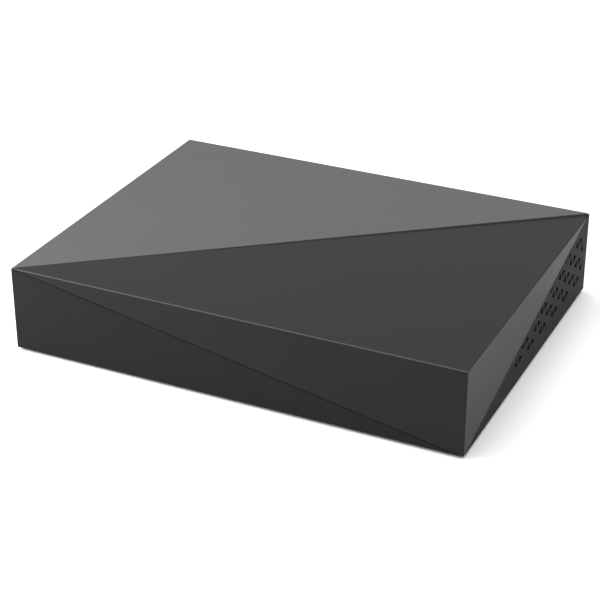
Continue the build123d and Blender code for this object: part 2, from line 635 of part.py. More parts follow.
def ground_screw():
    return pan_screw((GROUND_AT[0], PANEL_BACK, GROUND_AT[1]), (0, -1, 0), (3.0, 1.8), (1.5, 6.0))


def rear_panel():
    inset = WALL + CLEAR
    height = (FLOOR_TOP + CLEAR, WALL_TOP - CLEAR)
    panel = block((LEFT + inset, RIGHT - inset), (PANEL_FRONT, PANEL_BACK), height)
    through = (PANEL_FRONT - 1, PANEL_BACK + 1)
    cutters = [lengthwise(x, z, through, 5.3) for x, z in BNC_PLACES]
    cutters += [lengthwise(AUDIO_X, z, through, 4.7) for z in AUDIO_ROWS]
    cutters += [lengthwise(VGA_X + s * VGA_SCREW_SPREAD / 2, VGA_Z, through, 1.6) for s in (-1, 1)]
    cutters.append(d_prism(through, 0.3))
    cutters.append(block(around(HDMI_X, 15.8), through, (BOARD_TOP - 0.4, BOARD_TOP + 6.0)))
    cutters.append(block(around(NET_X, 16.6), through, (BOARD_TOP - 0.3, BOARD_TOP + 13.8)))
    cutters.append(block(around(USB_X, 15.1), through, (BOARD_TOP - 0.3, BOARD_TOP + 16.0)))
    cutters.append(block(around(POWER_X, 9.6), through, (BOARD_TOP - 0.3, BOARD_TOP + 11.4)))
    cutters.append(lengthwise(*GROUND_AT, through, 1.5))
    for k in range(5):  # air slots beside the sockets
        slot = block(around(102 + k * 4.6, 2.2), through, (12, 38))
        cutters.append(fillet(slot.edges().filter_by(Axis.Y), 1.0))
    return panel - cutters


# ---- Hard drive ---------------------------------------------------------------------------------

SPINDLE = (-57.0, -46.2)
PIVOT = (-2.0, -27.0)
DISK_RADIUS, DISK_THICK = 47.5, 1.27
DISK_LOWS = (19.0, 23.0)  # undersides of the two disks
CAVITY_FLOOR, CASTING_TOP = 15.0, 31.5
ARM_LENGTH, ARM_LOWS, ARM_THICK = 50.0, (17.1, 20.9, 24.8), 1.4
PARK_ANGLE = 253.1  # direction from the pivot to the parked heads, in degrees from +X
COIL_Z = (20.4, 22.8)
DRIVE_POCKET_X, DRIVE_POCKET_Y = -44.0, (-93.2, -7.4)  # recess of the drive's circuit board
PIN_RADIUS = 2.5
HUB_RADIUS = 12.5
DRIVE_COVER_SCREWS = [(x, y) for x in (-104.9, 37.1) for y in (-93.6, 1.2)]
DRIVE_COVER_SCREWS += [(-20.0, -95.3), (-20.0, 2.9)]


def sector(z, radii, angles):
    """An annular sector about the actuator's pivot."""
    steps = [math.radians(a) for a in angles]
    middle = sum(steps) / 2

    def point(radius, angle):
        return (PIVOT[0] + radius * math.cos(angle), PIVOT[1] + radius * math.sin(angle))

    inner, outer = radii
    edges = [
        ThreePointArc(point(inner, steps[0]), point(inner, middle), point(inner, steps[1])),
        Line(point(inner, steps[1]), point(outer, steps[1])),
        ThreePointArc(point(outer, steps[1]), point(outer, middle), point(outer, steps[0])),
        Line(point(outer, steps[0]), point(inner, steps[0])),
    ]
    return Pos(0, 0, z[0]) * extrude(make_face(edges), z[1] - z[0])


def drive_base():
    base = block(DRIVE_X, DRIVE_Y, (DRIVE_Z[0], CASTING_TOP))
    base = fillet(base.edges().filter_by(Axis.Z), 2.5)
    cavity = (CAVITY_FLOOR, CASTING_TOP + 1)
    base -= upright(*SPINDLE, cavity, DISK_RADIUS + 0.8)
    base -= block((-30, DRIVE_X[1] - 3.5), (DRIVE_Y[0] + 3.2, DRIVE_Y[1] - 3.2), cavity)
    base += upright(*SPINDLE, (CAVITY_FLOOR - 1, 24.5), PIN_RADIUS)
    base += upright(*PIVOT, (CAVITY_FLOOR - 1, 28.5), PIN_RADIUS)
    base -= block((DRIVE_POCKET_X, DRIVE_X[1] + 1), DRIVE_POCKET_Y, (DRIVE_Z[0] - 1, 13.2))
    base += [upright(x, y, (DRIVE_Z[0], 14.0), 3.1) for x, y in DRIVE_HOLES]
    base -= [upright(x, y, (DRIVE_Z[0] - 1, DRIVE_Z[0] + 4), DRIVE_THREAD) for x, y in DRIVE_HOLES]
    for y in DRIVE_Y:  # side mounting holes
        for along in SIDE_HOLES_ALONG:
            x, z = DRIVE_X[1] - along, DRIVE_Z[0] + 6.35
            base -= lengthwise(x, z, around(y, 5), DRIVE_THREAD)
    base -= [upright(x, y, (CASTING_TOP - 3.4, CASTING_TOP + 1), 1.05) for x, y in DRIVE_COVER_SCREWS]
    return base


def drive_cover():
    cover = block(DRIVE_X, DRIVE_Y, (CASTING_TOP, CASTING_TOP + 1.1))
    cover = fillet(cover.edges().filter_by(Axis.Z), 2.5)
    pad = upright(*SPINDLE, (CASTING_TOP + 1.1, DRIVE_Z[1] - 0.4), 41)
    pad += block((-50, 28), (-82, -12), (CASTING_TOP + 1.1, DRIVE_Z[1] - 0.4))
    pad = chamfer(pad.faces().sort_by(Axis.Z)[-1].edges(), 0.6)
    cover += pad
    cover += upright(*SPINDLE, (DRIVE_Z[1] - 0.4, DRIVE_Z[1]), 13)
    cover -= [upright(x, y, (CASTING_TOP - 1, CASTING_TOP + 2), 1.2) for x, y in DRIVE_COVER_SCREWS]
    return cover


def drive_cover_screws():
    low = CASTING_TOP + 1.1
    return [pan_screw((x, y, low), (0, 0, -1), (1.5, 0.9), (1.0, 4.0)) for x, y in DRIVE_COVER_SCREWS]


def drive_screws():
    head, shank = (3.4, 2.0), (1.7, 6.0)
    return [pan_screw((x, y, DRIVE_SCREW_SEAT), (0, 0, 1), head, shank) for x, y in DRIVE_HOLES]


def disk_platters():
    hole = upright(*SPINDLE, (CAVITY_FLOOR, CASTING_TOP), HUB_RADIUS + 0.05)
    return [upright(*SPINDLE, (low, low + DISK_THICK), DISK_RADIUS) - hole for low in DISK_LOWS]


def spindle_hub():
    low, high = DISK_LOWS[0], DISK_LOWS[1] + DISK_THICK
    hub = upright(*SPINDLE, (low - 1.6, high), HUB_RADIUS)
    hub += upright(*SPINDLE, (low - 1.6, low), 15.5)  # flange below the lower disk
    hub += upright(*SPINDLE, (low + DISK_THICK, DISK_LOWS[1]), 15.5)  # spacer between the disks
    hub -= upright(*SPINDLE, (low - 2, low + 2.6), 10.6)
    hub += upright(*SPINDLE, (low - 1.6, low + 2.6), 4.4)
    hub -= upright(*SPINDLE, (low - 3, high - 0.9), PIN_RADIUS + RUNNING)
    return hub - upright(*SPINDLE, (high - 1, high + 1), 3.2)


def disk_clamp():
    low = DISK_LOWS[1] + DISK_THICK
    clamp = upright(*SPINDLE, (low, low + 1.4), 15.5) - upright(*SPINDLE, (low - 1, low + 2), 3.2)
    for k in range(6):
        angle = math.radians(60 * k + 15)
        x, y = SPINDLE[0] + 9 * math.cos(angle), SPINDLE[1] + 9 * math.sin(angle)
        clamp += upright(x, y, (low + 1.4, low + 2.2), 1.7) - upright(x, y, (low + 1.7, low + 3), 0.7)
    return clamp


def spindle_stator():
    z = (CAVITY_FLOOR, DISK_LOWS[0] + 1.6)
    stator = upright(*SPINDLE, z, 7.0)
    for k in range(9):
        tooth = Pos(8.2, 0, 0) * Box(3.6, 2.2, z[1] - z[0])
        stator += Pos(*SPINDLE, sum(z) / 2) * Rot(0, 0, 40 * k) * tooth
    return stator - upright(*SPINDLE, (z[0] - 1, z[1] + 1), 4.7)


def actuator_arm():
    barrel = upright(*PIVOT, (16.0, 27.6), 6.8)
    edge = [(0, 6), (18, 5), (ARM_LENGTH, 1.6)]
    outline = Polyline(*edge, *[(x, -y) for x, y in reversed(edge)], close=True)
    for low in ARM_LOWS:
        blade = extrude(make_face(outline), ARM_THICK)
        blade -= Pos(24, 0, 0) * Box(9, 4, 9)
        barrel += Pos(*PIVOT, low) * Rot(0, 0, PARK_ANGLE) * blade
    coil_way = PARK_ANGLE - 180
    for side in (-1, 1):  # fork that holds the coil
        barrel += sector(COIL_Z, (5, 23), sorted((coil_way + side * 15.5, coil_way + side * 20)))
    return barrel - upright(*PIVOT, (15, 30), PIN_RADIUS + RUNNING)


def voice_coil():
    way = PARK_ANGLE - 180
    coil = sector(COIL_Z, (10.5, 24), (way - 15.5, way + 15.5))
    return coil - sector((COIL_Z[0] - 1, COIL_Z[1] + 1), (14, 20.5), (way - 8, way + 8))


YOKE_ANGLES = (18.0, 98.0)


def magnet_yokes():
    low = sector((CAVITY_FLOOR, 17.2), (8.4, 27), YOKE_ANGLES)
    return [low, sector((26.4, 28.6), (8.4, 27), YOKE_ANGLES)]


def coil_magnets():
    spans = ((17.2, 19.6), (23.6, 26.4))
    return [sector(z, (11, 25), (24, 92)) for z in spans]


def head_ramp():
    ramp = block((0, 6.5), (-1.5, 6), (CAVITY_FLOOR, 27.6))
    for low in ARM_LOWS:
        ramp -= block((-1, 2.4), (-3, 4.2), (low - 0.35, low + ARM_THICK + 0.35))
    return Pos(*PIVOT, 0) * Rot(0, 0, PARK_ANGLE) * Pos(ARM_LENGTH + 0.3, 0, 0) * ramp


def drive_board():
    gap = 0.5
    x = (DRIVE_POCKET_X + gap, DRIVE_X[1] - gap)
    y = (DRIVE_POCKET_Y[0] + gap, DRIVE_POCKET_Y[1] - gap)
    board = block(x, y, (9.4, 10.6))
    for x, y in DRIVE_HOLES:  # cut back round the mounting holes
        board -= upright(x, y, (9, 11), 4.0)
    board += block(around(-16, 14), around(-50, 14), (10.6, 11.9))
    return board + block(around(4, 8), around(-28, 12), (10.6, 11.8))


DATA_Y, POWER_Y, SATA_Z = -58.0, -78.0, 12.6


def drive_sata_socket():
    end = DRIVE_X[1]
    socket = block((end - 5.5, end + 0.2), (-92.5, -50.5), (10.6, 13.2))
    for y, wide in ((DATA_Y, 10.4), (POWER_Y, 21.0)):
        socket -= block((end - 4.5, end + 1), around(y, wide), (11.4, 14))
        socket += block((end - 5.0, end), around(y, wide - 1.4), (11.4, 12.3))
    return socket


# ---- Leads between the boards -------------------------------------------------------------------

DATA_SOCKET_X, POWER_HEADER_X = 74.0, 91.0
BOARD_EDGE_Y = BOARD_Y[0]
FAN_HEADER_AT = (88.0, 33.0)


def board_sata_socket():
    x, y, z = DATA_SOCKET_X, BOARD_EDGE_Y, BOARD_TOP
    body = block(around(x, 16.5), (y + 0.5, y + 9), (z, z + 7.4))
    mouth = block(around(x, 13.2), (y, y + 7), (z + 1.2, z + 6.2))
    tongue = block(around(x, 10), (y + 1, y + 8), (z + 3.2, z + 4.4))
    return body - mouth + tongue


def wire_headers():
    """The board's pin headers for the drive's power lead and for the fan."""
    x, y, z = POWER_HEADER_X, BOARD_EDGE_Y, BOARD_TOP
    power = block(around(x, 11.4), (y + 11, y + 17), (z, z + 6))
    power -= block(around(x, 10.2), (y + 10, y + 16), (z + 0.8, z + 5.2))
    fan = block(around(FAN_HEADER_AT[0], 5.8), around(FAN_HEADER_AT[1], 7.6), (z, z + 7.5))
    return [power, fan]


def sata_data_plugs():
    end, y, z = DRIVE_X[1], BOARD_EDGE_Y, BOARD_TOP + 3.8
    drive_plug = block((end + 0.4, end + 13.5), around(DATA_Y, 14), (9.6, 15.6))
    drive_plug = chamfer(drive_plug.edges().filter_by(Axis.X), 0.7)
    board_plug = block(around(DATA_SOCKET_X, 12.8), (y - 12.5, y + 0.3), around(z, 4.6))
    board_plug = chamfer(board_plug.edges().filter_by(Axis.Y), 0.7)
    return [drive_plug, board_plug]


def sata_data_cable():
    start_x, z = DRIVE_X[1] + 13.5, BOARD_TOP + 3.8
    points = [
        (start_x, DATA_Y, SATA_Z),
        (start_x + 13, DATA_Y, SATA_Z),
        (DATA_SOCKET_X + 2.5, DATA_Y + 15, SATA_Z + 1),
        (DATA_SOCKET_X, BOARD_EDGE_Y - 32, z),
        (DATA_SOCKET_X, BOARD_EDGE_Y - 12.5, z),
    ]
    return swept_tube(points, 2.0)


POWER_WIRES = 4


def power_lead_plugs():
    end, y, z = DRIVE_X[1], BOARD_EDGE_Y, BOARD_TOP
    drive_plug = block((end + 0.4, end + 12.5), around(POWER_Y, 24.5), (9.4, 16.0))
    drive_plug = chamfer(drive_plug.edges().filter_by(Axis.X), 0.8)
    board_plug = block(around(POWER_HEADER_X, 10.0), (y + 4, y + 15.8), (z + 1.0, z + 5.0))
    return [drive_plug, board_plug]


def power_lead_wires():
    wires = []
    for k in range(POWER_WIRES):
        place = k - (POWER_WIRES - 1) / 2
        y, x = POWER_Y + place * 4.4, POWER_HEADER_X - place * 2.5
        points = [
            (DRIVE_X[1] + 12.5, y, SATA_Z),
            (x - 17, y, SATA_Z),
            (x + 0.8, y + 19, SATA_Z + 0.6 + 0.3 * k),
            (x, BOARD_EDGE_Y - 28, BOARD_TOP + 3),
            (x, BOARD_EDGE_Y + 4, BOARD_TOP + 3),
        ]
        wires.append(swept_tube(points, 0.8))
    return wires


def fan_lead():
    x, y = FAN_HEADER_AT
    wires = []
    for shift in (-1.0, 1.0):
        points = [
            (x, y + shift, BOARD_TOP + 7.5),
            (x, y + shift, BOARD_TOP + 17),
            (x + 11, y + 5 + shift, BOARD_TOP + 18.3),
            (x + 19, FAN_Y0 + 6.5 + shift, BOARD_TOP + 5),
            (FAN_X[0], FAN_Y0 + 6.5 + shift, BOARD_TOP + 5),
        ]
        wires.append(swept_tube(points, 0.65))
    return wires


# ---- Fan ----------------------------------------------------------------------------------------

FAN_DUCT, FAN_BLADE_TIP, FAN_HUB = 19.0, 18.3, 9.8


def fan_frame():
    y, z = FAN_AXIS
    frame = block(FAN_X, around(y, FAN_SIZE), around(z, FAN_SIZE))
    frame = fillet(frame.edges().filter_by(Axis.X), 3.0)
    frame -= crosswise(y, z, (FAN_X[0] - 1, FAN_X[1] + 1), FAN_DUCT)
    back = (FAN_X[0], FAN_X[0] + 1.5)
    for turn in (45, 165, 285):
        spoke = Pos(0, 13.9, 0) * Box(1.5, 11.8, 2.4)
        frame += Pos(sum(back) / 2, y, z) * Rot(turn, 0, 0) * spoke
    frame += crosswise(y, z, back, FAN_HUB)
    frame += crosswise(y, z, (back[1], back[1] + 2.5), 2.6)
    frame -= crosswise(y, z, (FAN_X[0] + 0.6, FAN_X[1]), 1.0 + RUNNING)
    for side in (-16, 16):
        for up in (-16, 16):
            frame -= crosswise(y + side, z + up, (FAN_X[0] - 1, FAN_X[1] + 1), 2.15)
    return frame


def fan_rotor():
    y, z = FAN_AXIS
    low, high = FAN_X[0] + 2.0, FAN_X[1] - 0.4
    rotor = crosswise(y, z, (low, high), FAN_HUB)
    rotor = fillet(rotor.edges().filter_by(GeomType.CIRCLE).sort_by(Axis.X)[-1], 0.8)
    rotor -= crosswise(y, z, (low - 1, high - 3), 8.6)
    for k in range(7):
        blade = Pos(0, 14.0, 0) * Rot(0, 40, 0) * Box(9.0, 9.6, 1.0)
        rotor += Pos((low + high) / 2, y, z) * Rot(k * 360 / 7, 0, 0) * blade
    rotor &= crosswise(y, z, (low, high), FAN_BLADE_TIP)
    return rotor + crosswise(y, z, (FAN_X[0] + 0.8, high - 2), 1.0)


# ---- Output -------------------------------------------------------------------------------------

PIECES = [
    base_shell, top_cover, top_trim_panel, rear_panel, rubber_feet, cover_screws,
    main_board, board_screws, processor, thermal_pad, heat_sink, memory_chips, video_decoders,
    electrolytic_capacitors, power_inductors, coin_cell_holder, coin_cell, buzzer,
    bnc_housings, bnc_barrels, bnc_insulators, bnc_contacts, audio_housing, audio_shells, audio_inserts,
    vga_shell, vga_insert, vga_jackscrews, hdmi_shell, network_socket, network_contacts,
    usb_shell, socket_tongues, power_inlet, power_inlet_pin, ground_screw,
    drive_base, drive_cover, drive_cover_screws, drive_screws, disk_platters, spindle_hub, disk_clamp,
    spindle_stator, actuator_arm, voice_coil, magnet_yokes, coil_magnets, head_ramp, drive_board,
    drive_sata_socket, board_sata_socket, wire_headers, sata_data_plugs, sata_data_cable,
    power_lead_plugs, power_lead_wires, fan_lead, fan_frame, fan_rotor,
]

os.makedirs("parts", exist_ok=True)
for make in PIECES:
    made = make()
    shape = Compound(children=list(made)) if isinstance(made, list) else made
    export_step(shape, f"parts/{make.__name__}.step")
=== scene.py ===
"""The looks of a compact video recorder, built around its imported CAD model.

Metres, in the CAD model's frame: X to the right seen from the front, Y to the back, Z up."""

import json
import math

import bmesh
import bpy
from mathutils import Matrix, Vector


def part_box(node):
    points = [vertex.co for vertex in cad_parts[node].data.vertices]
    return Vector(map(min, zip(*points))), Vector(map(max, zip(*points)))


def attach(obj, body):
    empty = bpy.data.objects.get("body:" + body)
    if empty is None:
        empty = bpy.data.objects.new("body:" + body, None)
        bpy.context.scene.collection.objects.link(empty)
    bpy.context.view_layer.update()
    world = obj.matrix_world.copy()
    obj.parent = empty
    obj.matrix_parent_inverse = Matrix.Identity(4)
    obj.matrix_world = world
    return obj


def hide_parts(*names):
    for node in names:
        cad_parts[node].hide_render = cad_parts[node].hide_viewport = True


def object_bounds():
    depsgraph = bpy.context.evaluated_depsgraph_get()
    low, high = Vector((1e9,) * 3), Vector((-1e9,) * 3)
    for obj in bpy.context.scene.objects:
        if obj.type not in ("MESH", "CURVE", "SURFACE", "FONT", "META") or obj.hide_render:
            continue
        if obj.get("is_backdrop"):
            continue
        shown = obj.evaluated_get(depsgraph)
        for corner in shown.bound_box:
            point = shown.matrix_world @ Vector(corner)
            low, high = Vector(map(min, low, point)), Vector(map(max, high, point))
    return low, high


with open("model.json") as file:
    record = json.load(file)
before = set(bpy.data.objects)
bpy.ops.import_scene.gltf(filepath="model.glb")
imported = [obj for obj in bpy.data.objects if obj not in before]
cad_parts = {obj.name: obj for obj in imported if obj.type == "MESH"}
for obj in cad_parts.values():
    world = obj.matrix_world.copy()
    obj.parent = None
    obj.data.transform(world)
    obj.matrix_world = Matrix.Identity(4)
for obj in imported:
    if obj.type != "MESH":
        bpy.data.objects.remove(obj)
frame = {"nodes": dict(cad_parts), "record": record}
CAD_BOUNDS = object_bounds()
MM = 0.001
CHASSIS = "chassis"  # the body that every piece added here rides on


# ---- Camera, light and floor --------------------------------------------------------------------

AZIMUTH, ELEVATION = 25.23, 27.71  # degrees
DISTANCE = 0.9574
LENS, SENSOR = 102.54, 36.0
AIM_SHIFT = (0.0054, 0.0120)  # how far the case's middle lies right of and above the view's
WORLD_STRENGTH = 0.94
# (name, place, what it points at, size, watts)
LIGHTS = [
    ("softbox", (-0.3, -0.15, 2.0), (-0.1, 0, 0), (3.4, 3.0), 60),
    ("key", (-0.36, -0.32, 0.22), (-0.12, -0.1, 0.0), (0.3, 0.25), 2.3),
]
FLOOR_HALF = 8  # half the floor's side
FLOOR_NEAR, FLOOR_FAR = (0.6, 0.8), (2.5, 0.98)  # (distance, tone) where it starts and ends paling


def place_camera():
    """The camera looks down on the front left, with the case's middle off centre by AIM_SHIFT."""
    low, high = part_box("base_shell")
    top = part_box("top_trim_panel")[1]
    middle = Vector(((low[0] + high[0]) / 2, (low[1] + high[1]) / 2, (low[2] + top[2]) / 2))
    a, e = math.radians(AZIMUTH), math.radians(ELEVATION)
    back = Vector((math.sin(a) * math.cos(e), -math.cos(a) * math.cos(e), math.sin(e)))
    right = Vector((math.cos(a), math.sin(a), 0))
    up = back.cross(right)
    data = bpy.data.cameras.new("camera")
    data.lens, data.sensor_width = LENS, SENSOR
    data.clip_start, data.clip_end = 0.01, 100
    camera = bpy.data.objects.new("camera", data)
    place = middle + back * DISTANCE - right * AIM_SHIFT[0] - up * AIM_SHIFT[1]
    turn = Matrix((right, up, back)).transposed().to_4x4()
    camera.matrix_world = Matrix.Translation(place) @ turn
    bpy.context.scene.collection.objects.link(camera)
    bpy.context.scene.camera = camera


def area_light(name, place, target, size, power):
    data = bpy.data.lights.new(name, "AREA")
    data.shape, data.size, data.size_y = "RECTANGLE", size[0], size[1]
    data.energy = power
    light = bpy.data.objects.new(name, data)
    way = Vector(target) - Vector(place)
    turn = way.to_track_quat("-Z", "Y").to_matrix().to_4x4()
    light.matrix_world = Matrix.Translation(place) @ turn
    bpy.context.scene.collection.objects.link(light)


def build_studio():
    scene = bpy.context.scene
    scene.view_settings.view_transform = "Standard"
    scene.view_settings.look = "None"
    world = bpy.data.worlds.new("studio")
    world.use_nodes = True
    background = world.node_tree.nodes["Background"]
    background.inputs["Color"].default_value = (1.0, 1.0, 1.0, 1)
    background.inputs["Strength"].default_value = WORLD_STRENGTH
    scene.world = world
    for light in LIGHTS:
        area_light(*light)

    material, tree, coordinates = new_material("floor")
    reach = add(tree, "ShaderNodeVectorMath", {0: coordinates}, operation="LENGTH")
    tone = add(tree, "ShaderNodeMapRange", {
        "Value": reach.outputs["Value"],
        "From Min": FLOOR_NEAR[0],
        "From Max": FLOOR_FAR[0],
        "To Min": FLOOR_NEAR[1],
        "To Max": FLOOR_FAR[1],
    })  # fmt: skip
    shader = add(tree, "ShaderNodeBsdfPrincipled", {
        "Base Color": tone.outputs["Result"], "Roughness": 0.9,
    })  # fmt: skip
    finish_material(tree, shader)
    bm = bmesh.new()
    bmesh.ops.create_grid(bm, x_segments=1, y_segments=1, size=FLOOR_HALF)
    floor = mesh_object("floor", bm, material)
    floor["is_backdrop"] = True


# ---- Materials ----------------------------------------------------------------------------------


def new_material(name):
    """An empty material, with its node tree and its object coordinates, in metres."""
    material = bpy.data.materials.new(name)
    material.use_nodes = True
    tree = material.node_tree
    tree.nodes.clear()
    return material, tree, tree.nodes.new("ShaderNodeTexCoord").outputs["Object"]


def add(tree, kind, inputs=(), **settings):
    """A node of a kind. Each input is a value, or the output socket that feeds it."""
    made = tree.nodes.new(kind)
    for key, value in settings.items():
        setattr(made, key, value)
    for key, value in dict(inputs).items():
        if isinstance(value, bpy.types.NodeSocket):
            tree.links.new(value, made.inputs[key])
        else:
            made.inputs[key].default_value = value
    return made


def finish_material(tree, shader):
    output = tree.nodes.new("ShaderNodeOutputMaterial")
    tree.links.new(shader.outputs[0], output.inputs["Surface"])


def shade(colour, factor):
    return (colour[0] * factor, colour[1] * factor, colour[2] * factor, 1)


def surface(
    name, colour, roughness, metallic=0.0, grain=(0.4, 0.01), mottle=(6.0, 0.08),
    wander=0.05, stretch=(1, 1, 1), rounding=0.0, painted_edge_highlight=0.0, specular=0.5,
):  # fmt: skip
    """A moulded, painted or metal surface. grain is the (size, height) of its fine texture and
    mottle the (size, amount) of its slow changes of tone, in millimetres. wander is how far its
    roughness varies, stretch draws the grain out along an axis, rounding softens its edges, and
    the edge highlight setting is how much paler its rounded edges that face up and forwards are
    painted: a painted highlight standing in for the light those edges catch."""
    material, tree, coordinates = new_material(name)
    slow = add(tree, "ShaderNodeTexNoise", {
        "Vector": coordinates, "Scale": 1 / (mottle[0] * MM), "Detail": 3.0,
    })  # fmt: skip
    tone = add(tree, "ShaderNodeMixRGB", {
        "Fac": slow.outputs["Fac"],
        "Color1": shade(colour, 1 - mottle[1]),
        "Color2": shade(colour, 1 + mottle[1]),
    })  # fmt: skip
    drawn = add(tree, "ShaderNodeMapping", {"Vector": coordinates, "Scale": stretch})
    fine = add(tree, "ShaderNodeTexNoise", {
        "Vector": drawn.outputs["Vector"], "Scale": 1 / (grain[0] * MM), "Detail": 2.5,
    })  # fmt: skip
    rough = add(tree, "ShaderNodeMapRange", {
        "Value": fine.outputs["Fac"], "To Min": roughness - wander, "To Max": roughness + wander,
    })  # fmt: skip
    bump_inputs = {"Height": fine.outputs["Fac"], "Strength": 1.0, "Distance": grain[1] * MM}
    if rounding:
        edge = add(tree, "ShaderNodeBevel", {"Radius": rounding * MM}, samples=4)
        bump_inputs["Normal"] = edge.outputs["Normal"]
    # Painted highlight: rounded edges whose normals face up and forwards are painted paler,
    # standing in for the light they catch.
    if painted_edge_highlight:
        flat = add(tree, "ShaderNodeNewGeometry").outputs["True Normal"]
        split = add(tree, "ShaderNodeSeparateXYZ", {"Vector": flat})
        up_front = add(tree, "ShaderNodeMath", {
            0: split.outputs["Y"], 1: split.outputs["Z"],
        }, operation="MULTIPLY")  # fmt: skip
        highlight_mask = add(tree, "ShaderNodeMapRange", {
            "Value": up_front.outputs["Value"],
            "From Min": EDGE_HIGHLIGHT_TURN[0],
            "From Max": EDGE_HIGHLIGHT_TURN[1],
            "To Max": painted_edge_highlight,
        })  # fmt: skip
        tone = add(tree, "ShaderNodeMixRGB", {
            "Fac": highlight_mask.outputs["Result"],
            "Color1": tone.outputs["Color"],
            "Color2": shade(colour, EDGE_HIGHLIGHT_TONE),
        })  # fmt: skip
    bump = add(tree, "ShaderNodeBump", bump_inputs)
    shader = add(tree, "ShaderNodeBsdfPrincipled", {
        "Base Color": tone.outputs["Color"],
        "Roughness": rough.outputs["Result"],
        "Metallic": metallic,
        "Specular IOR Level": specular,
        "Normal": bump.outputs["Normal"],
    })  # fmt: skip
    finish_material(tree, shader)
    return material


EDGE_HIGHLIGHT_TONE = 4.0  # how much paler a painted edge highlight is than its face
EDGE_HIGHLIGHT_TURN = (-0.05, -0.3)  # a normal's Y times its Z where the painted edge highlight begins, and where it is full

# name: (colour, roughness, other settings). The names of the record's slots come first.
PLASTICS = {
    "textured_plastic": ((0.0119, 0.0122, 0.0122), 0.62, dict(
        grain=(0.35, 0.028), mottle=(25, 0.06), rounding=0.15, specular=0.07)),
    # Its rounded edges that face up and forwards carry a painted highlight.
    "gloss_facets": ((0.0143, 0.0146, 0.0146), 0.34, dict(
        grain=(1.4, 0.0012), mottle=(40, 0.05), wander=0.04, rounding=0.4, painted_edge_highlight=1.0,
        specular=0.07)),
    "trim_plastic": ((0.065, 0.066, 0.066), 0.5, dict(
        grain=(0.35, 0.022), mottle=(30, 0.05), rounding=0.3, specular=0.15)),
    "painted_steel": ((0.022, 0.022, 0.024), 0.48, dict(grain=(0.6, 0.02), mottle=(15, 0.08))),
    "rubber": ((0.018, 0.018, 0.018), 0.8, dict(grain=(0.5, 0.03), rounding=0.3)),
    "circuit_board": ((0.012, 0.085, 0.035), 0.32, dict(grain=(0.9, 0.01), mottle=(9, 0.16))),
    "chip_epoxy": ((0.014, 0.014, 0.015), 0.55, dict(grain=(0.18, 0.01), rounding=0.1)),
    "thermal_pad": ((0.35, 0.42, 0.5), 0.75, dict(grain=(0.4, 0.02))),
    "ferrite": ((0.045, 0.045, 0.048), 0.7, dict(grain=(0.3, 0.03), rounding=0.15)),
    "black_nylon": ((0.016, 0.016, 0.017), 0.42, dict(grain=(0.5, 0.012), rounding=0.15)),
    "white_nylon": ((0.72, 0.69, 0.6), 0.42, dict(grain=(0.6, 0.012), rounding=0.15)),
    "white_insulator": ((0.8, 0.79, 0.75), 0.4, dict(grain=(0.6, 0.01), rounding=0.1)),
    "audio_insert": ((0.55, 0.02, 0.015), 0.3, dict(grain=(0.6, 0.008), rounding=0.1)),
    "vga_insert": ((0.02, 0.07, 0.36), 0.35, dict(grain=(0.5, 0.01), rounding=0.1)),
    "data_cable_jacket": ((0.4, 0.012, 0.01), 0.42, dict(grain=(0.6, 0.01))),
    "wire_insulation": ((0.4, 0.012, 0.01), 0.42, dict(grain=(0.6, 0.01))),
    "trace_mask": ((0.03, 0.17, 0.07), 0.3, dict(grain=(0.9, 0.006), mottle=(9, 0.1))),
    "print_ink": ((0.72, 0.72, 0.7), 0.5, dict(grain=(0.2, 0.004), mottle=(2.0, 0.08))),
    "chip_ceramic": ((0.3, 0.19, 0.1), 0.45, dict(grain=(0.2, 0.006), mottle=(1.5, 0.12))),
    "label_film": ((0.5, 0.5, 0.49), 0.45, dict(grain=(0.5, 0.006), mottle=(15, 0.04))),
    "lamp_lens": ((0.03, 0.35, 0.06), 0.25, dict(grain=(0.5, 0.004))),
    "lamp_amber": ((0.6, 0.25, 0.02), 0.25, dict(grain=(0.5, 0.004))),
    "wire_yellow": ((0.62, 0.42, 0.015), 0.42, dict(grain=(0.6, 0.01))),
    "wire_black": ((0.014, 0.014, 0.014), 0.42, dict(grain=(0.6, 0.01))),
    "sleeve": ((0.012, 0.016, 0.03), 0.32, dict(grain=(0.5, 0.008))),
    "label_band": ((0.1, 0.11, 0.13), 0.45, dict(grain=(0.4, 0.004))),
    "white_insert": ((0.75, 0.74, 0.72), 0.3, dict(grain=(0.6, 0.008), rounding=0.1)),
}
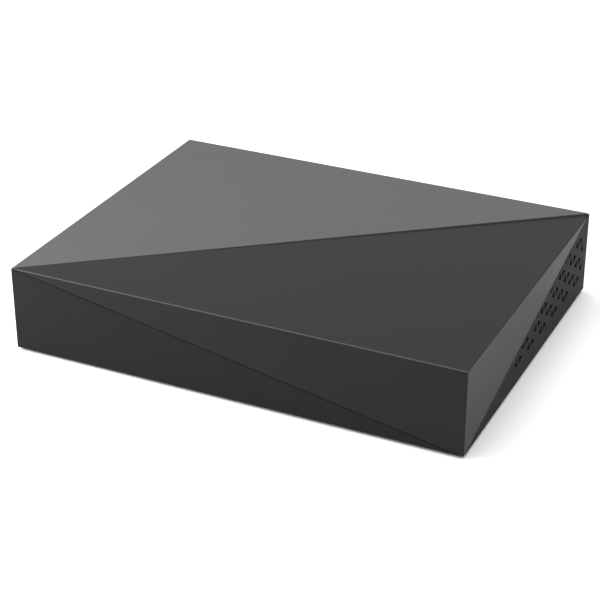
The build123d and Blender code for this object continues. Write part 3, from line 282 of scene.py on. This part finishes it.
METALS = {
    "screw_steel": ((0.5, 0.5, 0.51), 0.3, dict(grain=(0.3, 0.006), rounding=0.1)),
    "heat_sink_aluminium": ((0.03, 0.03, 0.034), 0.42, dict(
        grain=(0.2, 0.006), stretch=(1, 0.1, 1), rounding=0.12, metallic=0.6)),
    "capacitor_can": ((0.62, 0.62, 0.63), 0.28, dict(grain=(0.3, 0.004), rounding=0.1)),
    "cell_steel": ((0.6, 0.6, 0.59), 0.24, dict(grain=(0.2, 0.003), stretch=(1, 0.08, 1))),
    "nickel_plate": ((0.68, 0.65, 0.6), 0.2, dict(grain=(0.5, 0.004), rounding=0.12)),
    "gold_contact": ((0.83, 0.58, 0.22), 0.22, dict(grain=(0.3, 0.003))),
    "drive_casting": ((0.35, 0.35, 0.36), 0.42, dict(
        grain=(0.8, 0.03), mottle=(12, 0.1), rounding=0.2)),
    "drive_cover_steel": ((0.33, 0.33, 0.34), 0.36, dict(
        grain=(0.3, 0.008), mottle=(30, 0.1), wander=0.08, stretch=(0.05, 1, 1), rounding=0.3)),
    "disk_mirror": ((0.36, 0.36, 0.37), 0.06, dict(grain=(0.5, 0.0002), wander=0.01)),
    "machined_aluminium": ((0.42, 0.42, 0.43), 0.3, dict(
        grain=(0.2, 0.005), stretch=(1, 0.1, 1), rounding=0.1)),
    "motor_steel": ((0.4, 0.4, 0.41), 0.4, dict(grain=(0.2, 0.006))),
    "copper_winding": ((0.65, 0.26, 0.1), 0.3, dict(grain=(0.15, 0.02), stretch=(1, 1, 0.2))),
    "solder_tin": ((0.66, 0.66, 0.65), 0.28, dict(grain=(0.4, 0.01))),
    "foil": ((0.5, 0.5, 0.51), 0.36, dict(grain=(0.8, 0.01))),
}


def make_materials():
    """One material for each of the names in the two tables."""
    made = {name: surface(name, *look, **more) for name, (*look, more) in PLASTICS.items()}
    for name, (*look, more) in METALS.items():
        made[name] = surface(name, *look, **{"metallic": 1.0, **more})
    return made


# ---- Mesh helpers, in millimetres ---------------------------------------------------------------


def at(x, y, z, turn=None):
    """A place, with an optional rotation."""
    place = Matrix.Translation(Vector((x, y, z)) * MM)
    return place @ turn if turn else place


def mesh_object(name, bm, *materials):
    """An object from a bmesh, linked to the scene."""
    mesh = bpy.data.meshes.new(name)
    bmesh.ops.recalc_face_normals(bm, faces=bm.faces)
    bm.to_mesh(mesh)
    bm.free()
    for material in materials:
        mesh.materials.append(material)
    made = bpy.data.objects.new(name, mesh)
    bpy.context.scene.collection.objects.link(made)
    return made


def piece(name, bm, body, slot, *materials, bevel=0.0, smooth=False):
    """A finished piece that rides on a body."""
    made = mesh_object(name, bm, *materials)
    if bevel:
        edges = made.modifiers.new("bevel", "BEVEL")
        edges.width = bevel * MM
        edges.segments = 2
    if smooth:
        made.data.shade_smooth()
        made.data.set_sharp_from_angle(angle=math.radians(35))
    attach(made, body)
    return made


def add_rings(bm, rings, closed=False, material=0, place=None):
    """A skin over rings of points. Its ends are capped unless it closes on itself."""
    move = place or Matrix.Identity(4)
    rows = [[bm.verts.new(move @ (Vector(point) * MM)) for point in ring] for ring in rings]
    faces = []
    for ring, after in zip(rows, rows[1:] + (rows[:1] if closed else [])):
        for k in range(len(ring)):
            n = (k + 1) % len(ring)
            faces.append(bm.faces.new((ring[k], ring[n], after[n], after[k])))
    if not closed:
        faces += [bm.faces.new(rows[0][::-1]), bm.faces.new(rows[-1])]
    for face in faces:
        face.material_index = material


def rectangle(x, y):
    """The outline of a rectangle between pairs of coordinates."""
    return [(x[0], y[0]), (x[1], y[0]), (x[1], y[1]), (x[0], y[1])]


def add_box(bm, x, y, z):
    """A box between pairs of coordinates."""
    add_plate(bm, rectangle(x, y), z)


def circle(radius, height, count=32, start=0.0, end=360.0):
    """Points on a circle, or on an arc of it, about the Z axis."""
    steps = count if end - start >= 360 else count + 1
    angles = [math.radians(start + (end - start) * k / count) for k in range(steps)]
    return [(radius * math.cos(a), radius * math.sin(a), height) for a in angles]


def add_disc(bm, place, radius, low, high, count=32):
    add_rings(bm, [circle(radius, low, count), circle(radius, high, count)], place=place)


def add_lathe(bm, place, profile, count=32, material=0, start=0.0, end=360.0):
    """A closed profile of (radius, height) pairs, turned about the Z axis of place."""
    arcs = [circle(radius, height, count, start, end) for radius, height in profile]
    rings = [list(ring) for ring in zip(*arcs)]
    add_rings(bm, rings, closed=end - start >= 360, material=material, place=place)


def ring_profile(inner, outer, low, high):
    return [(inner, low), (outer, low), (outer, high), (inner, high)]


def add_ribbon(bm, points, width, z, closed=False, material=0, place=None):
    """A flat strip between the pair z, along a line of (x, y) points, mitred at its corners."""
    line = [Vector(point) for point in points]
    ways = [(after - here).normalized() for here, after in zip(line, line[1:] + line[:1])]
    rings = []
    for k, here in enumerate(line):
        into = ways[k - 1] if k or closed else ways[0]
        out = ways[k] if k < len(line) - 1 or closed else into
        along = (into + out).normalized()
        side = Vector((-along.y, along.x))
        reach = side * (width / 2 / side.dot(Vector((-out.y, out.x))))
        left, right = here + reach, here - reach
        rings.append([(*left, z[0]), (*right, z[0]), (*right, z[1]), (*left, z[1])])
    add_rings(bm, rings, closed=closed, material=material, place=place)


def rounded(x, y, radius, steps=6):
    """The outline of a rectangle with round corners, between pairs of coordinates."""
    points = []
    for cx, cy, start in ((x[1], y[1], 0), (x[0], y[1], 90), (x[0], y[0], 180), (x[1], y[0], 270)):
        middle_x = cx - math.copysign(radius, cx - sum(x) / 2)
        middle_y = cy - math.copysign(radius, cy - sum(y) / 2)
        arc = circle(radius, 0, steps, start, start + 90)
        points += [(middle_x + dx, middle_y + dy) for dx, dy, _ in arc]
    return points


def add_plate(bm, outline, z, material=0, place=None):
    """A flat plate of an outline of (x, y) points."""
    rings = [[(*point, height) for point in outline] for height in z]
    add_rings(bm, rings, material=material, place=place)


def lead(name, node, routes, diameter, colours):
    """A bundle of wires along smooth curves, in place of a CAD node. Each route has a colour."""
    curve = bpy.data.curves.new(name, "CURVE")
    curve.dimensions = "3D"
    curve.bevel_depth = diameter / 2 * MM
    curve.bevel_resolution = 4
    curve.resolution_u = 12
    curve.use_fill_caps = True
    for number, (route, colour) in enumerate(zip(routes, colours)):
        curve.materials.append(colour)
        spline = curve.splines.new("NURBS")
        spline.points.add(len(route) - 1)
        for point, place in zip(spline.points, route):
            point.co = (*(Vector(place) * MM), 1)
        spline.order_u = 3
        spline.use_endpoint_u = True
        spline.material_index = number
    made = bpy.data.objects.new(name, curve)
    bpy.context.scene.collection.objects.link(made)
    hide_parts(node)
    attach(made, CHASSIS)


# ---- Circuit board ------------------------------------------------------------------------------

BOARD_TOP = (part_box("main_board")[1] / MM).z
PRINT = (BOARD_TOP, BOARD_TOP + 0.03)  # heights of the ink and the traces on the board

CHIP_AT, SINK_SIZE = (-24.0, 44.0), 37.0
BOARD_SCREWS_AT = [(-108, 17), (-8, 17), (56, 17), (-108, 86), (8, 62), (92, 66)]
MEMORY_AT = [(x, y) for x in (-58, -70) for y in (34, 52)]
DECODERS_AT = [(38, 58), (60, 58)]
SMALL_CHIPS_AT = [(-70, 19), (-82, 19.5), (40, 26), (40, 37), (60, 30), (76, 64)]
CANS = [(-98, 60, 4.0, 11.5), (-88, 60, 4.0, 11.5), (-98, 46, 3.15, 7.7), (-88, 46, 3.15, 7.7)]
CANS += [(24, 34, 3.15, 7.7), (84, 52, 3.15, 7.7)]
INDUCTORS_AT = [(-94, 30), (-82, 30), (-94, 19)]
CELL_AT = (20.0, 48.0)
FLASH_AT, BUZZER_AT = (-54, 19), (78, 32)
DATA_SOCKET_AT = (74, 16.8)

# Bundles of traces: (points, how many, pitch, width)
BUSES = [
    ([(-53.5, 34), (-48, 34), (-44, 38), (-41, 38)], 12, 0.8, 0.3),
    ([(-53.5, 52), (-48, 52), (-44, 48), (-41, 48)], 12, 0.8, 0.3),
    ([(-65.6, 34), (-62.4, 34)], 14, 0.8, 0.3),
    ([(-65.6, 52), (-62.4, 52)], 14, 0.8, 0.3),
    ([(-31, 62), (-31, 74), (-36, 79), (-36, 83)], 8, 0.7, 0.25),
    ([(-39, 62), (-39, 66), (-46, 73), (-50, 73)], 8, 0.7, 0.25),
    ([(-15, 62), (-15, 74), (-10, 79), (-10, 84)], 9, 0.9, 0.3),
    ([(-6, 54), (0, 54), (11, 65), (25, 65), (30, 60), (33, 60)], 12, 0.7, 0.25),
    ([(35, 64), (35, 70), (31, 74), (31, 77)], 4, 0.8, 0.3),
    ([(41, 64), (41, 67), (50, 76), (50, 78)], 4, 0.8, 0.3),
    ([(57, 64), (57, 66), (66, 75), (66, 78)], 4, 0.8, 0.3),
    ([(63, 64), (63, 65), (73, 75), (84, 75), (84, 78)], 4, 0.8, 0.3),
    ([(-6, 32), (10, 32), (17, 25), (62, 25), (68, 19)], 4, 0.9, 0.35),
    ([(-74, 77), (-74, 71), (-67, 64), (-46, 64), (-41, 59)], 4, 0.9, 0.3),
    ([(-51, 19), (-47, 19), (-41, 25), (-41, 27)], 6, 0.8, 0.3),
    ([(13, 81), (13, 76), (3, 66), (-4, 59), (-7, 59)], 3, 0.9, 0.35),
    ([(78, 39), (78, 45), (66, 57)], 2, 1.2, 0.4),
    ([(44, 37), (50, 37), (58, 45), (58, 52)], 5, 0.8, 0.3),
    ([(44, 26), (52, 26), (56, 30)], 4, 0.8, 0.3),
    ([(-98, 80), (-98, 66)], 1, 1.0, 4.0),
    ([(-104, 74), (-104, 40), (-98, 34)], 2, 3.4, 2.4),
    ([(-88, 56), (-88, 50)], 1, 1.0, 3.5),
    ([(-82, 34), (-82, 40), (-79, 43), (-79, 60)], 2, 2.6, 1.8),
    ([(-90, 19), (-85, 19)], 3, 1.3, 0.8),
]

# Rows of small surface parts: (x, y, step in x, step in y, how many, is a capacitor, lies across)
PART_ROWS = [
    (-48.5, 29.0, 0, 2.4, 13, True, False),
    (-45.4, 30.2, 0, 3.6, 8, False, False),
    (-40.0, 66.0, 3.2, 0, 11, True, True),
    (-26.0, 69.6, 3.2, 0, 6, False, True),
    (-1.5, 24.0, 0, 2.6, 9, False, False),
    (2.5, 36.0, 0, 2.6, 7, True, False),
    (46.0, 68.5, 2.7, 0, 4, False, True),
    (26.0, 70.8, 2.7, 0, 3, True, True),
    (76.0, 71.0, 2.7, 0, 5, True, True),
    (35.0, 48.0, 2.7, 0, 12, True, True),
    (36.0, 44.6, 2.7, 0, 7, False, True),
    (-103.0, 36.6, 3.0, 0, 3, True, True),
    (-94.0, 36.6, 3.0, 0, 4, True, True),
    (-76.6, 29.0, 0, 2.6, 12, True, False),
    (-44.0, 16.2, 3.2, 0, 9, False, True),
    (-38.0, 21.2, 3.2, 0, 9, True, True),
    (-92.0, 68.0, 3.2, 0, 5, True, True),
    (-92.0, 72.0, 3.2, 0, 4, False, True),
    (71.0, 44.0, 0, 2.6, 4, False, False),
    (48.0, 31.0, 0, 2.6, 4, True, False),
    (92.0, 42.0, 0, 2.8, 6, False, False),
    (30.0, 18.0, 2.7, 0, 8, True, True),
    (-66.0, 64.2, 3.0, 0, 6, False, True),
]


def bus_lines(points, count, pitch):
    """Parallel copies of a line, side by side."""
    line = [Vector(point) for point in points]
    for k in range(count):
        shift = (k - (count - 1) / 2) * pitch
        copy = []
        for n, here in enumerate(line):
            into = (here - line[n - 1]).normalized() if n else (line[1] - here).normalized()
            out = (line[n + 1] - here).normalized() if n < len(line) - 1 else into
            along = (into + out).normalized()
            side = Vector((-along.y, along.x))
            copy.append(here + side * shift / side.dot(Vector((-out.y, out.x))))
        yield copy


def board_traces():
    bm = bmesh.new()
    for points, count, pitch, width in BUSES:
        for line in bus_lines(points, count, pitch):
            add_ribbon(bm, line, width, PRINT)
    return piece("board_traces", bm, CHASSIS, "trace_mask", MATERIALS["trace_mask"])


def board_vias():
    """Plated holes at each trace's start and end, and at one of its points in turn."""
    bm = bmesh.new()
    for points, count, pitch, _ in BUSES:
        for number, line in enumerate(bus_lines(points, count, pitch)):
            for x, y in (line[0], line[-1], line[number % len(line)]):
                profile = ring_profile(0.16, 0.36, BOARD_TOP - 0.05, PRINT[1] + 0.01)
                add_lathe(bm, at(x, y, 0), profile, count=10)
    return piece("board_vias", bm, CHASSIS, "solder_tin", MATERIALS["solder_tin"])


def board_screw_pads():
    bm = bmesh.new()
    for x, y in BOARD_SCREWS_AT:
        add_lathe(bm, at(x, y, 0), ring_profile(1.65, 3.7, BOARD_TOP - 0.05, PRINT[1]))
        for k in range(8):
            angle = math.radians(45 * k + 22)
            spot = at(x + 4.6 * math.cos(angle), y + 4.6 * math.sin(angle), 0)
            add_lathe(bm, spot, ring_profile(0.18, 0.4, BOARD_TOP - 0.05, PRINT[1]), count=10)
    return piece("board_screw_pads", bm, CHASSIS, "solder_tin", MATERIALS["solder_tin"])


def board_print():
    """White ink outlines round the parts, with no lettering."""
    bm = bmesh.new()
    ink = 0.2
    beside, half = 0.75, 0.7  # how far off a capacitor's two lines run, and half their length

    def frame_round(x, y, wide, deep):
        outline = rectangle((x - wide / 2, x + wide / 2), (y - deep / 2, y + deep / 2))
        add_ribbon(bm, outline, ink, PRINT, closed=True)

    for x, y in MEMORY_AT:
        frame_round(x, y, 10.4, 14.9)
    for x, y in DECODERS_AT:
        frame_round(x, y, 16.0, 16.0)
    for x, y in SMALL_CHIPS_AT:
        frame_round(x, y, 8.4, 6.2)
    for x, y in INDUCTORS_AT:
        frame_round(x, y, 8.4, 8.4)
    frame_round(*CHIP_AT, SINK_SIZE + 2, SINK_SIZE + 2)
    frame_round(*FLASH_AT, 9.4, 6.4)
    frame_round(*DATA_SOCKET_AT, 18.2, 9.6)
    rounds = [(x, y, radius + 0.8) for x, y, radius, _ in CANS]
    rounds += [(*BUZZER_AT, 6.9), (*CELL_AT, 12.4)]
    for x, y, radius in rounds:
        profile = ring_profile(radius - ink / 2, radius + ink / 2, *PRINT)
        add_lathe(bm, at(x, y, 0), profile, count=48)
    for x, y, step_x, step_y, count, is_capacitor, across in PART_ROWS:
        if is_capacitor:
            for k in range(count):
                part_x, part_y = x + k * step_x, y + k * step_y
                for side in (-beside, beside):
                    if across:
                        ends = [(part_x + side, part_y + way) for way in (-half, half)]
                    else:
                        ends = [(part_x + way, part_y + side) for way in (-half, half)]
                    add_ribbon(bm, ends, 0.14, PRINT)
    return piece("board_print", bm, CHASSIS, "print_ink", MATERIALS["print_ink"])


def surface_parts():
    """Chip capacitors and resistors: a body between two tinned ends."""
    bm = bmesh.new()
    length, width = 1.6, 0.85
    for x, y, step_x, step_y, count, is_capacitor, across in PART_ROWS:
        tall = 0.8 if is_capacitor else 0.5
        for k in range(count):
            middle = (x + k * step_x, y + k * step_y)
            turn = Matrix.Rotation(math.radians(90), 4, "Z") if across else None
            place = at(*middle, BOARD_TOP, turn)
            for low, high, spread, material in (
                (-length / 2, -length / 2 + 0.35, 0.02, 0),
                (-length / 2 + 0.35, length / 2 - 0.35, 0.0, 1 if is_capacitor else 2),
                (length / 2 - 0.35, length / 2, 0.02, 0),
            ):
                half = width / 2 + spread
                section = rectangle((-half, half), (0, tall + spread))
                rings = [[(end, a, b) for a, b in section] for end in (low, high)]
                add_rings(bm, rings, material=material, place=place)
    materials = [MATERIALS[name] for name in ("solder_tin", "chip_ceramic", "chip_epoxy")]
    return piece("surface_parts", bm, CHASSIS, "chip_ceramic", *materials, bevel=0.05)


def add_pins(bm, middle, half, count, pitch, sides, shoulder=0.75):
    """Gull-wing pins along the sides of a chip, each side given by its turn in degrees."""
    path = [(half - 0.1, shoulder), (half + 0.3, shoulder), (half + 0.5, 0.1), (half + 1.0, 0.1)]
    wide, thick = pitch * 0.22, 0.07
    section = rectangle((-wide, wide), (-thick, thick))
    for turn in sides:
        place = at(*middle, BOARD_TOP, Matrix.Rotation(math.radians(turn), 4, "Z"))
        for k in range(count):
            y = (k - (count - 1) / 2) * pitch
            rings = [[(x, y + across, z + up) for across, up in section] for x, z in path]
            add_rings(bm, rings, place=place)


def chip_pins():
    bm = bmesh.new()
    for middle in DECODERS_AT:
        add_pins(bm, middle, 6.0, 16, 0.68, (0, 90, 180, 270))
    for middle in SMALL_CHIPS_AT:
        add_pins(bm, middle, 2.0, 4, 1.27, (90, 270))
    add_pins(bm, FLASH_AT, 2.6, 4, 1.27, (0, 180))
    return piece("chip_pins", bm, CHASSIS, "solder_tin", MATERIALS["solder_tin"])


def small_chips():
    """Regulators and drivers in eight-pin packages, each with a dimple at its first pin."""
    bm = bmesh.new()
    for x, y in SMALL_CHIPS_AT:
        sections = []
        for height, inset in ((0.12, 0.12), (0.75, 0.0), (1.45, 0.14)):
            wide, deep = 2.5 - inset, 2.0 - inset
            outline = rectangle((x - wide, x + wide), (y - deep, y + deep))
            sections.append([(*point, BOARD_TOP + height) for point in outline])
        add_rings(bm, sections)
        spot = at(x - 1.7, y - 1.2, BOARD_TOP + 1.45)
        add_lathe(bm, spot, ring_profile(0.28, 0.36, -0.02, 0.015), count=16)
    return piece("small_chips", bm, CHASSIS, "chip_epoxy", MATERIALS["chip_epoxy"], bevel=0.06)


def crystals():
    """Metal cans of the board's two crystals."""
    bm = bmesh.new()
    for x, y in ((4, 20), (52, 38)):
        for grow, z in ((0.45, (0.0, 0.45)), (0.0, (0.45, 3.3))):
            along, across = (x - 5 - grow, x + 5 + grow), (y - 1.9 - grow, y + 1.9 + grow)
            outline = rounded(along, across, 1.85 + grow, 8)
            add_plate(bm, outline, [BOARD_TOP + height for height in z])
    return piece("crystals", bm, CHASSIS, "nickel_plate", MATERIALS["nickel_plate"], bevel=0.25)


def capacitor_sleeves():
    """Shrink sleeves with a pale stripe on the negative side, folded over the cans' rims."""
    bm = bmesh.new()
    for x, y, radius, tall in CANS:
        place = at(x, y, BOARD_TOP)
        outer = radius + 0.16
        profile = [
            (radius + 0.02, 0.3),
            (outer, 0.3),
            (outer, tall - 0.45),
            (radius - 0.2, tall + 0.05),
            (radius - 0.6, tall + 0.05),
            (radius - 0.6, tall - 0.05),
            (radius + 0.02, tall - 0.5),
        ]
        add_lathe(bm, place, profile, count=40, start=-145, end=145)
        add_lathe(bm, place, profile, count=10, start=145, end=215, material=1)
    materials = [MATERIALS["sleeve"], MATERIALS["print_ink"]]
    return piece("capacitor_sleeves", bm, CHASSIS, "black_nylon", *materials, smooth=True)


def cell_clip():
    """The spring strap that holds the coin cell down."""
    bm = bmesh.new()
    x, y = CELL_AT
    path = [(-11.75, 0.5), (-11.75, 4.7), (-11.2, 5.2), (-8.5, 5.1)]
    path += [(-3.5, 4.35), (0.5, 4.35), (2.2, 5.0)]
    rings = []
    for number, (along, height) in enumerate(path):
        wide = 2.4 if number < 5 else 2.0
        section = rectangle((-wide, wide), (0.0, 0.24))
        place = x + along + (0.0 if number > 1 else -0.12)
        rings.append([(place, y + across, BOARD_TOP + height + up) for across, up in section])
    add_rings(bm, rings)
    return piece("cell_clip", bm, CHASSIS, "nickel_plate", MATERIALS["nickel_plate"], bevel=0.08)


def solder_joints():
    """Tinned shoulders where the connectors' pins come through beside their housings."""
    bm = bmesh.new()
    rows = [(x + side * 6.2, 74.6) for x in (33, 50, 67, 84) for side in (-1, 1)]
    rows += [(-64.4, 78), (-45.6, 78), (-84.6, 79), (-67.4, 79), (-103.9, 84), (-92.1, 84)]
    for x, y in rows:
        profile = [(0.2, 0.0), (1.1, 0.0), (0.65, 0.22), (0.42, 0.9), (0.2, 1.05)]
        add_lathe(bm, at(x, y, BOARD_TOP), profile, count=14)
    return piece("solder_joints", bm, CHASSIS, "solder_tin", MATERIALS["solder_tin"], smooth=True)


# ---- Drive, fan and leads -----------------------------------------------------------------------


def drive_label():
    """A blank label with a plain band and rules, on the drive's cover."""
    bm = bmesh.new()
    low = 33.7  # top of the cover's raised pad
    x, y = (-33.0, 24.0), (-78.0, -16.0)
    add_plate(bm, rounded(x, y, 2.0), (low - 0.02, low + 0.1))
    ink = (low + 0.1, low + 0.12)
    band = rounded((x[0] + 1.5, x[1] - 1.5), (y[1] - 13.0, y[1] - 1.5), 1.0)
    add_plate(bm, band, ink, material=1)
    for k in range(8):
        height = y[0] + 6.0 + k * 5.0
        add_ribbon(bm, [(x[0] + 3, height), (x[1] - 3, height)], 0.3, ink, material=1)
    materials = [MATERIALS["label_film"], MATERIALS["label_band"]]
    return piece("drive_label", bm, CHASSIS, "label_film", *materials)


def drive_foils():
    """Two foil discs stuck on the drive's cover."""
    bm = bmesh.new()
    low, high = 32.58, 32.68
    add_disc(bm, at(30, -8.0, 0), 4.2, low, high)
    add_disc(bm, at(-92, -84, 0), 5.0, low, high)
    return piece("drive_foils", bm, CHASSIS, "nickel_plate", MATERIALS["foil"])


def underside_label():
    bm = bmesh.new()
    low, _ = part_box("base_shell")
    under = low.z / MM
    add_plate(bm, rounded((-20.0, 50.0), (12.0, 52.0), 2.0), (under - 0.1, under + 0.01))
    return piece("underside_label", bm, CHASSIS, "label_film", MATERIALS["label_film"])


def fan_sticker():
    """A blank foil disc on the hub of the fan's frame."""
    bm = bmesh.new()
    low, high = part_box("fan_frame")
    middle = (low + high) / 2 / MM
    place = at(low.x / MM, middle.y, middle.z, Matrix.Rotation(math.radians(-90), 4, "Y"))
    add_disc(bm, place, 8.8, -0.02, 0.08, count=48)
    add_lathe(bm, place, ring_profile(6.6, 7.2, 0.08, 0.1), count=48, material=1)
    materials = [MATERIALS["foil"], MATERIALS["label_band"]]
    return piece("fan_sticker", bm, CHASSIS, "label_film", *materials)


def inner_leads():
    """The data cable, the drive's power wires and the fan's wires, along the CAD model's routes."""
    data = [(52.5, -58, 12.6), (65.5, -58, 12.6), (76.5, -43, 13.6)]
    data += [(74, -20.1, 14.5), (74, -0.6, 14.5)]
    jacket = [MATERIALS["data_cable_jacket"]]
    lead("sata_data_cable_smooth", "sata_data_cable", [data], 4.0, jacket)
    power = []
    for k in range(4):
        place = k - 1.5
        y, x = -78 + 4.4 * place, 91 - 2.5 * place
        bend = (x + 0.8, y + 19, 13.2 + 0.3 * k)
        power.append([(51.5, y, 12.6), (x - 17, y, 12.6), bend, (x, -16.1, 13.7), (x, 15.9, 13.7)])
    names = ("wire_yellow", "wire_black", "wire_black", "wire_insulation")
    lead("power_wires_smooth", "power_lead_wires", power, 1.6, [MATERIALS[name] for name in names])
    fan = []
    for shift in (-1, 1):
        fan.append([
            (88, 33 + shift, 18.2),
            (88, 33 + shift, 27.7),
            (99, 38 + shift, 29.0),
            (107, 46.5 + shift, 15.7),
            (115.8, 46.5 + shift, 15.7),
        ])
    names = ("wire_insulation", "wire_black")
    lead("fan_wires_smooth", "fan_lead", fan, 1.3, [MATERIALS[name] for name in names])


# ---- Connector panel ----------------------------------------------------------------------------

PANEL_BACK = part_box("rear_panel")[1].y / MM
FACING_BACK = Matrix(((-1, 0, 0), (0, 0, 1), (0, 1, 0))).to_4x4()  # local X left, Y up, Z backwards
CAMERA_COLUMNS, CAMERA_ROWS = (33.0, 50.0, 67.0, 84.0), (20.2, 36.2)
INK = (0.0, 0.04)  # heights of the print on the panel's face
USB_TONGUES_Z = (14.7, 22.4)


def on_panel(x, z):
    """A place on the panel's outer face. Its X runs to the right seen from behind."""
    return at(x, PANEL_BACK, z, FACING_BACK)


def camera_numbers():
    """The numbers 1 to 8 above the camera sockets."""
    number = 1
    for x in CAMERA_COLUMNS:
        for z in CAMERA_ROWS:
            text = bpy.data.curves.new(f"camera_number_{number}", "FONT")
            text.body = str(number)
            text.size = 3.4 * MM
            text.extrude = 0.02 * MM
            text.align_x = "CENTER"
            text.align_y = "CENTER"
            text.materials.append(MATERIALS["print_ink"])
            made = bpy.data.objects.new(f"camera_number_{number}", text)
            bpy.context.scene.collection.objects.link(made)
            made.matrix_world = on_panel(x, z + 7.6) @ at(0, 0, INK[1] / 2)
            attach(made, CHASSIS)
            number += 1


def panel_print():
    """Ink frames round the groups of sockets, and plain symbols for earth, power, in and out."""
    bm = bmesh.new()
    groups = [((25.0, 92.6), (12.6, 46.2)), ((8.6, 21.6), (12.6, 43.6))]
    groups.append(((-24.6, 8.0), (9.6, 25.2)))
    for x, z in groups:
        half = (x[1] - x[0]) / 2
        place = on_panel(sum(x) / 2, 0)
        add_ribbon(bm, rounded((-half, half), z, 1.5), 0.3, INK, closed=True, place=place)
    earth = on_panel(-110, 25.5)
    add_ribbon(bm, [(0, 0), (0, 2.2)], 0.35, INK, place=earth)
    for half, height in ((1.8, 0.0), (1.15, -0.8), (0.5, -1.6)):
        add_ribbon(bm, [(-half, height), (half, height)], 0.35, INK, place=earth)
    power = on_panel(-98, 26.0)
    add_ribbon(bm, [(-2.4, 0.9), (2.4, 0.9)], 0.4, INK, place=power)
    for middle in (-1.8, 0.0, 1.8):
        add_ribbon(bm, [(middle - 0.6, 0), (middle + 0.6, 0)], 0.4, INK, place=power)
    for z, way in ((25.7, -1), (40.2, 1)):  # an arrow by each audio socket, one down and one up
        arrow = on_panel(15, z)
        add_ribbon(bm, [(-1.6, -way * 1.2), (1.6, -way * 1.2)], 0.35, INK, place=arrow)
        add_plate(bm, [(-1.1, -way * 0.4), (1.1, -way * 0.4), (0, way * 1.2)], INK, place=arrow)
    return piece("panel_print", bm, CHASSIS, "print_ink", MATERIALS["print_ink"])


def network_lamps():
    """The green and amber lenses above the network socket."""
    bm = bmesh.new()
    low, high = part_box("network_socket")
    middle, face = (low.x + high.x) / 2 / MM, high.y / MM
    for side, material in ((-1, 0), (1, 1)):
        x = middle + side * 5.4
        outline = rounded((-1.4, 1.4), (-0.8, 0.8), 0.3, 4)
        place = at(x, face, 22.2, FACING_BACK)
        add_plate(bm, outline, (-0.3, 0.02), material=material, place=place)
    materials = [MATERIALS["lamp_lens"], MATERIALS["lamp_amber"]]
    return piece("network_lamps", bm, CHASSIS, "lamp_lens", *materials, bevel=0.08)


def tongue_contacts():
    """Gold strips under the USB and video sockets' tongues."""
    bm = bmesh.new()
    for z in USB_TONGUES_Z:
        for x in (-79.5, -77.0, -75.0, -72.5):
            add_box(bm, (x - 0.6, x + 0.6), (82.0, 92.4), (z + 0.04, z + 0.14))
    for k in range(10):
        x = -36 + (k - 4.5) * 1.0
        add_box(bm, (x - 0.2, x + 0.2), (84.0, 92.2), (13.34, 13.42))
    return piece("tongue_contacts", bm, CHASSIS, "gold_contact", MATERIALS["gold_contact"])


def socket_springs():
    """The pressed spring tongues on the USB shell's two mouths."""
    bm = bmesh.new()
    for z in USB_TONGUES_Z:
        for x in (-79.0, -73.0):
            rings = []
            for y, lift in ((93.9, 0.0), (92.6, 0.42), (90.0, 0.05)):
                top = z + 2.54 - lift
                section = rectangle((x - 0.9, x + 0.9), (top - 0.12, top))
                rings.append([(across, y, height) for across, height in section])
            add_rings(bm, rings)
    return piece("socket_springs", bm, CHASSIS, "nickel_plate", MATERIALS["nickel_plate"])


# ---- The whole ----------------------------------------------------------------------------------

MATERIALS = make_materials()
SLOTS = {part["node"]: part["material_slot"] for part in frame["record"]["subparts"]}
build_studio()
place_camera()

for node, slot in SLOTS.items():
    mesh = frame["nodes"][node].data
    mesh.materials.clear()
    mesh.materials.append(MATERIALS[slot])

inserts = frame["nodes"]["audio_inserts"].data
inserts.materials.append(MATERIALS["white_insert"])
low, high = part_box("audio_inserts")
for face in inserts.polygons:
    face.material_index = int(face.center.z > (low.z + high.z) / 2)

for make in (
    board_traces,
    board_vias,
    board_screw_pads,
    board_print,
    surface_parts,
    chip_pins,
    small_chips,
    crystals,
    capacitor_sleeves,
    cell_clip,
    solder_joints,
    drive_label,
    drive_foils,
    underside_label,
    fan_sticker,
    inner_leads,
    camera_numbers,
    panel_print,
    network_lamps,
    tongue_contacts,
    socket_springs,
):
    make()

both = {"cad": CAD_BOUNDS, "visual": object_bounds()}
plain = {key: [list(map(float, corner)) for corner in value] for key, value in both.items()}
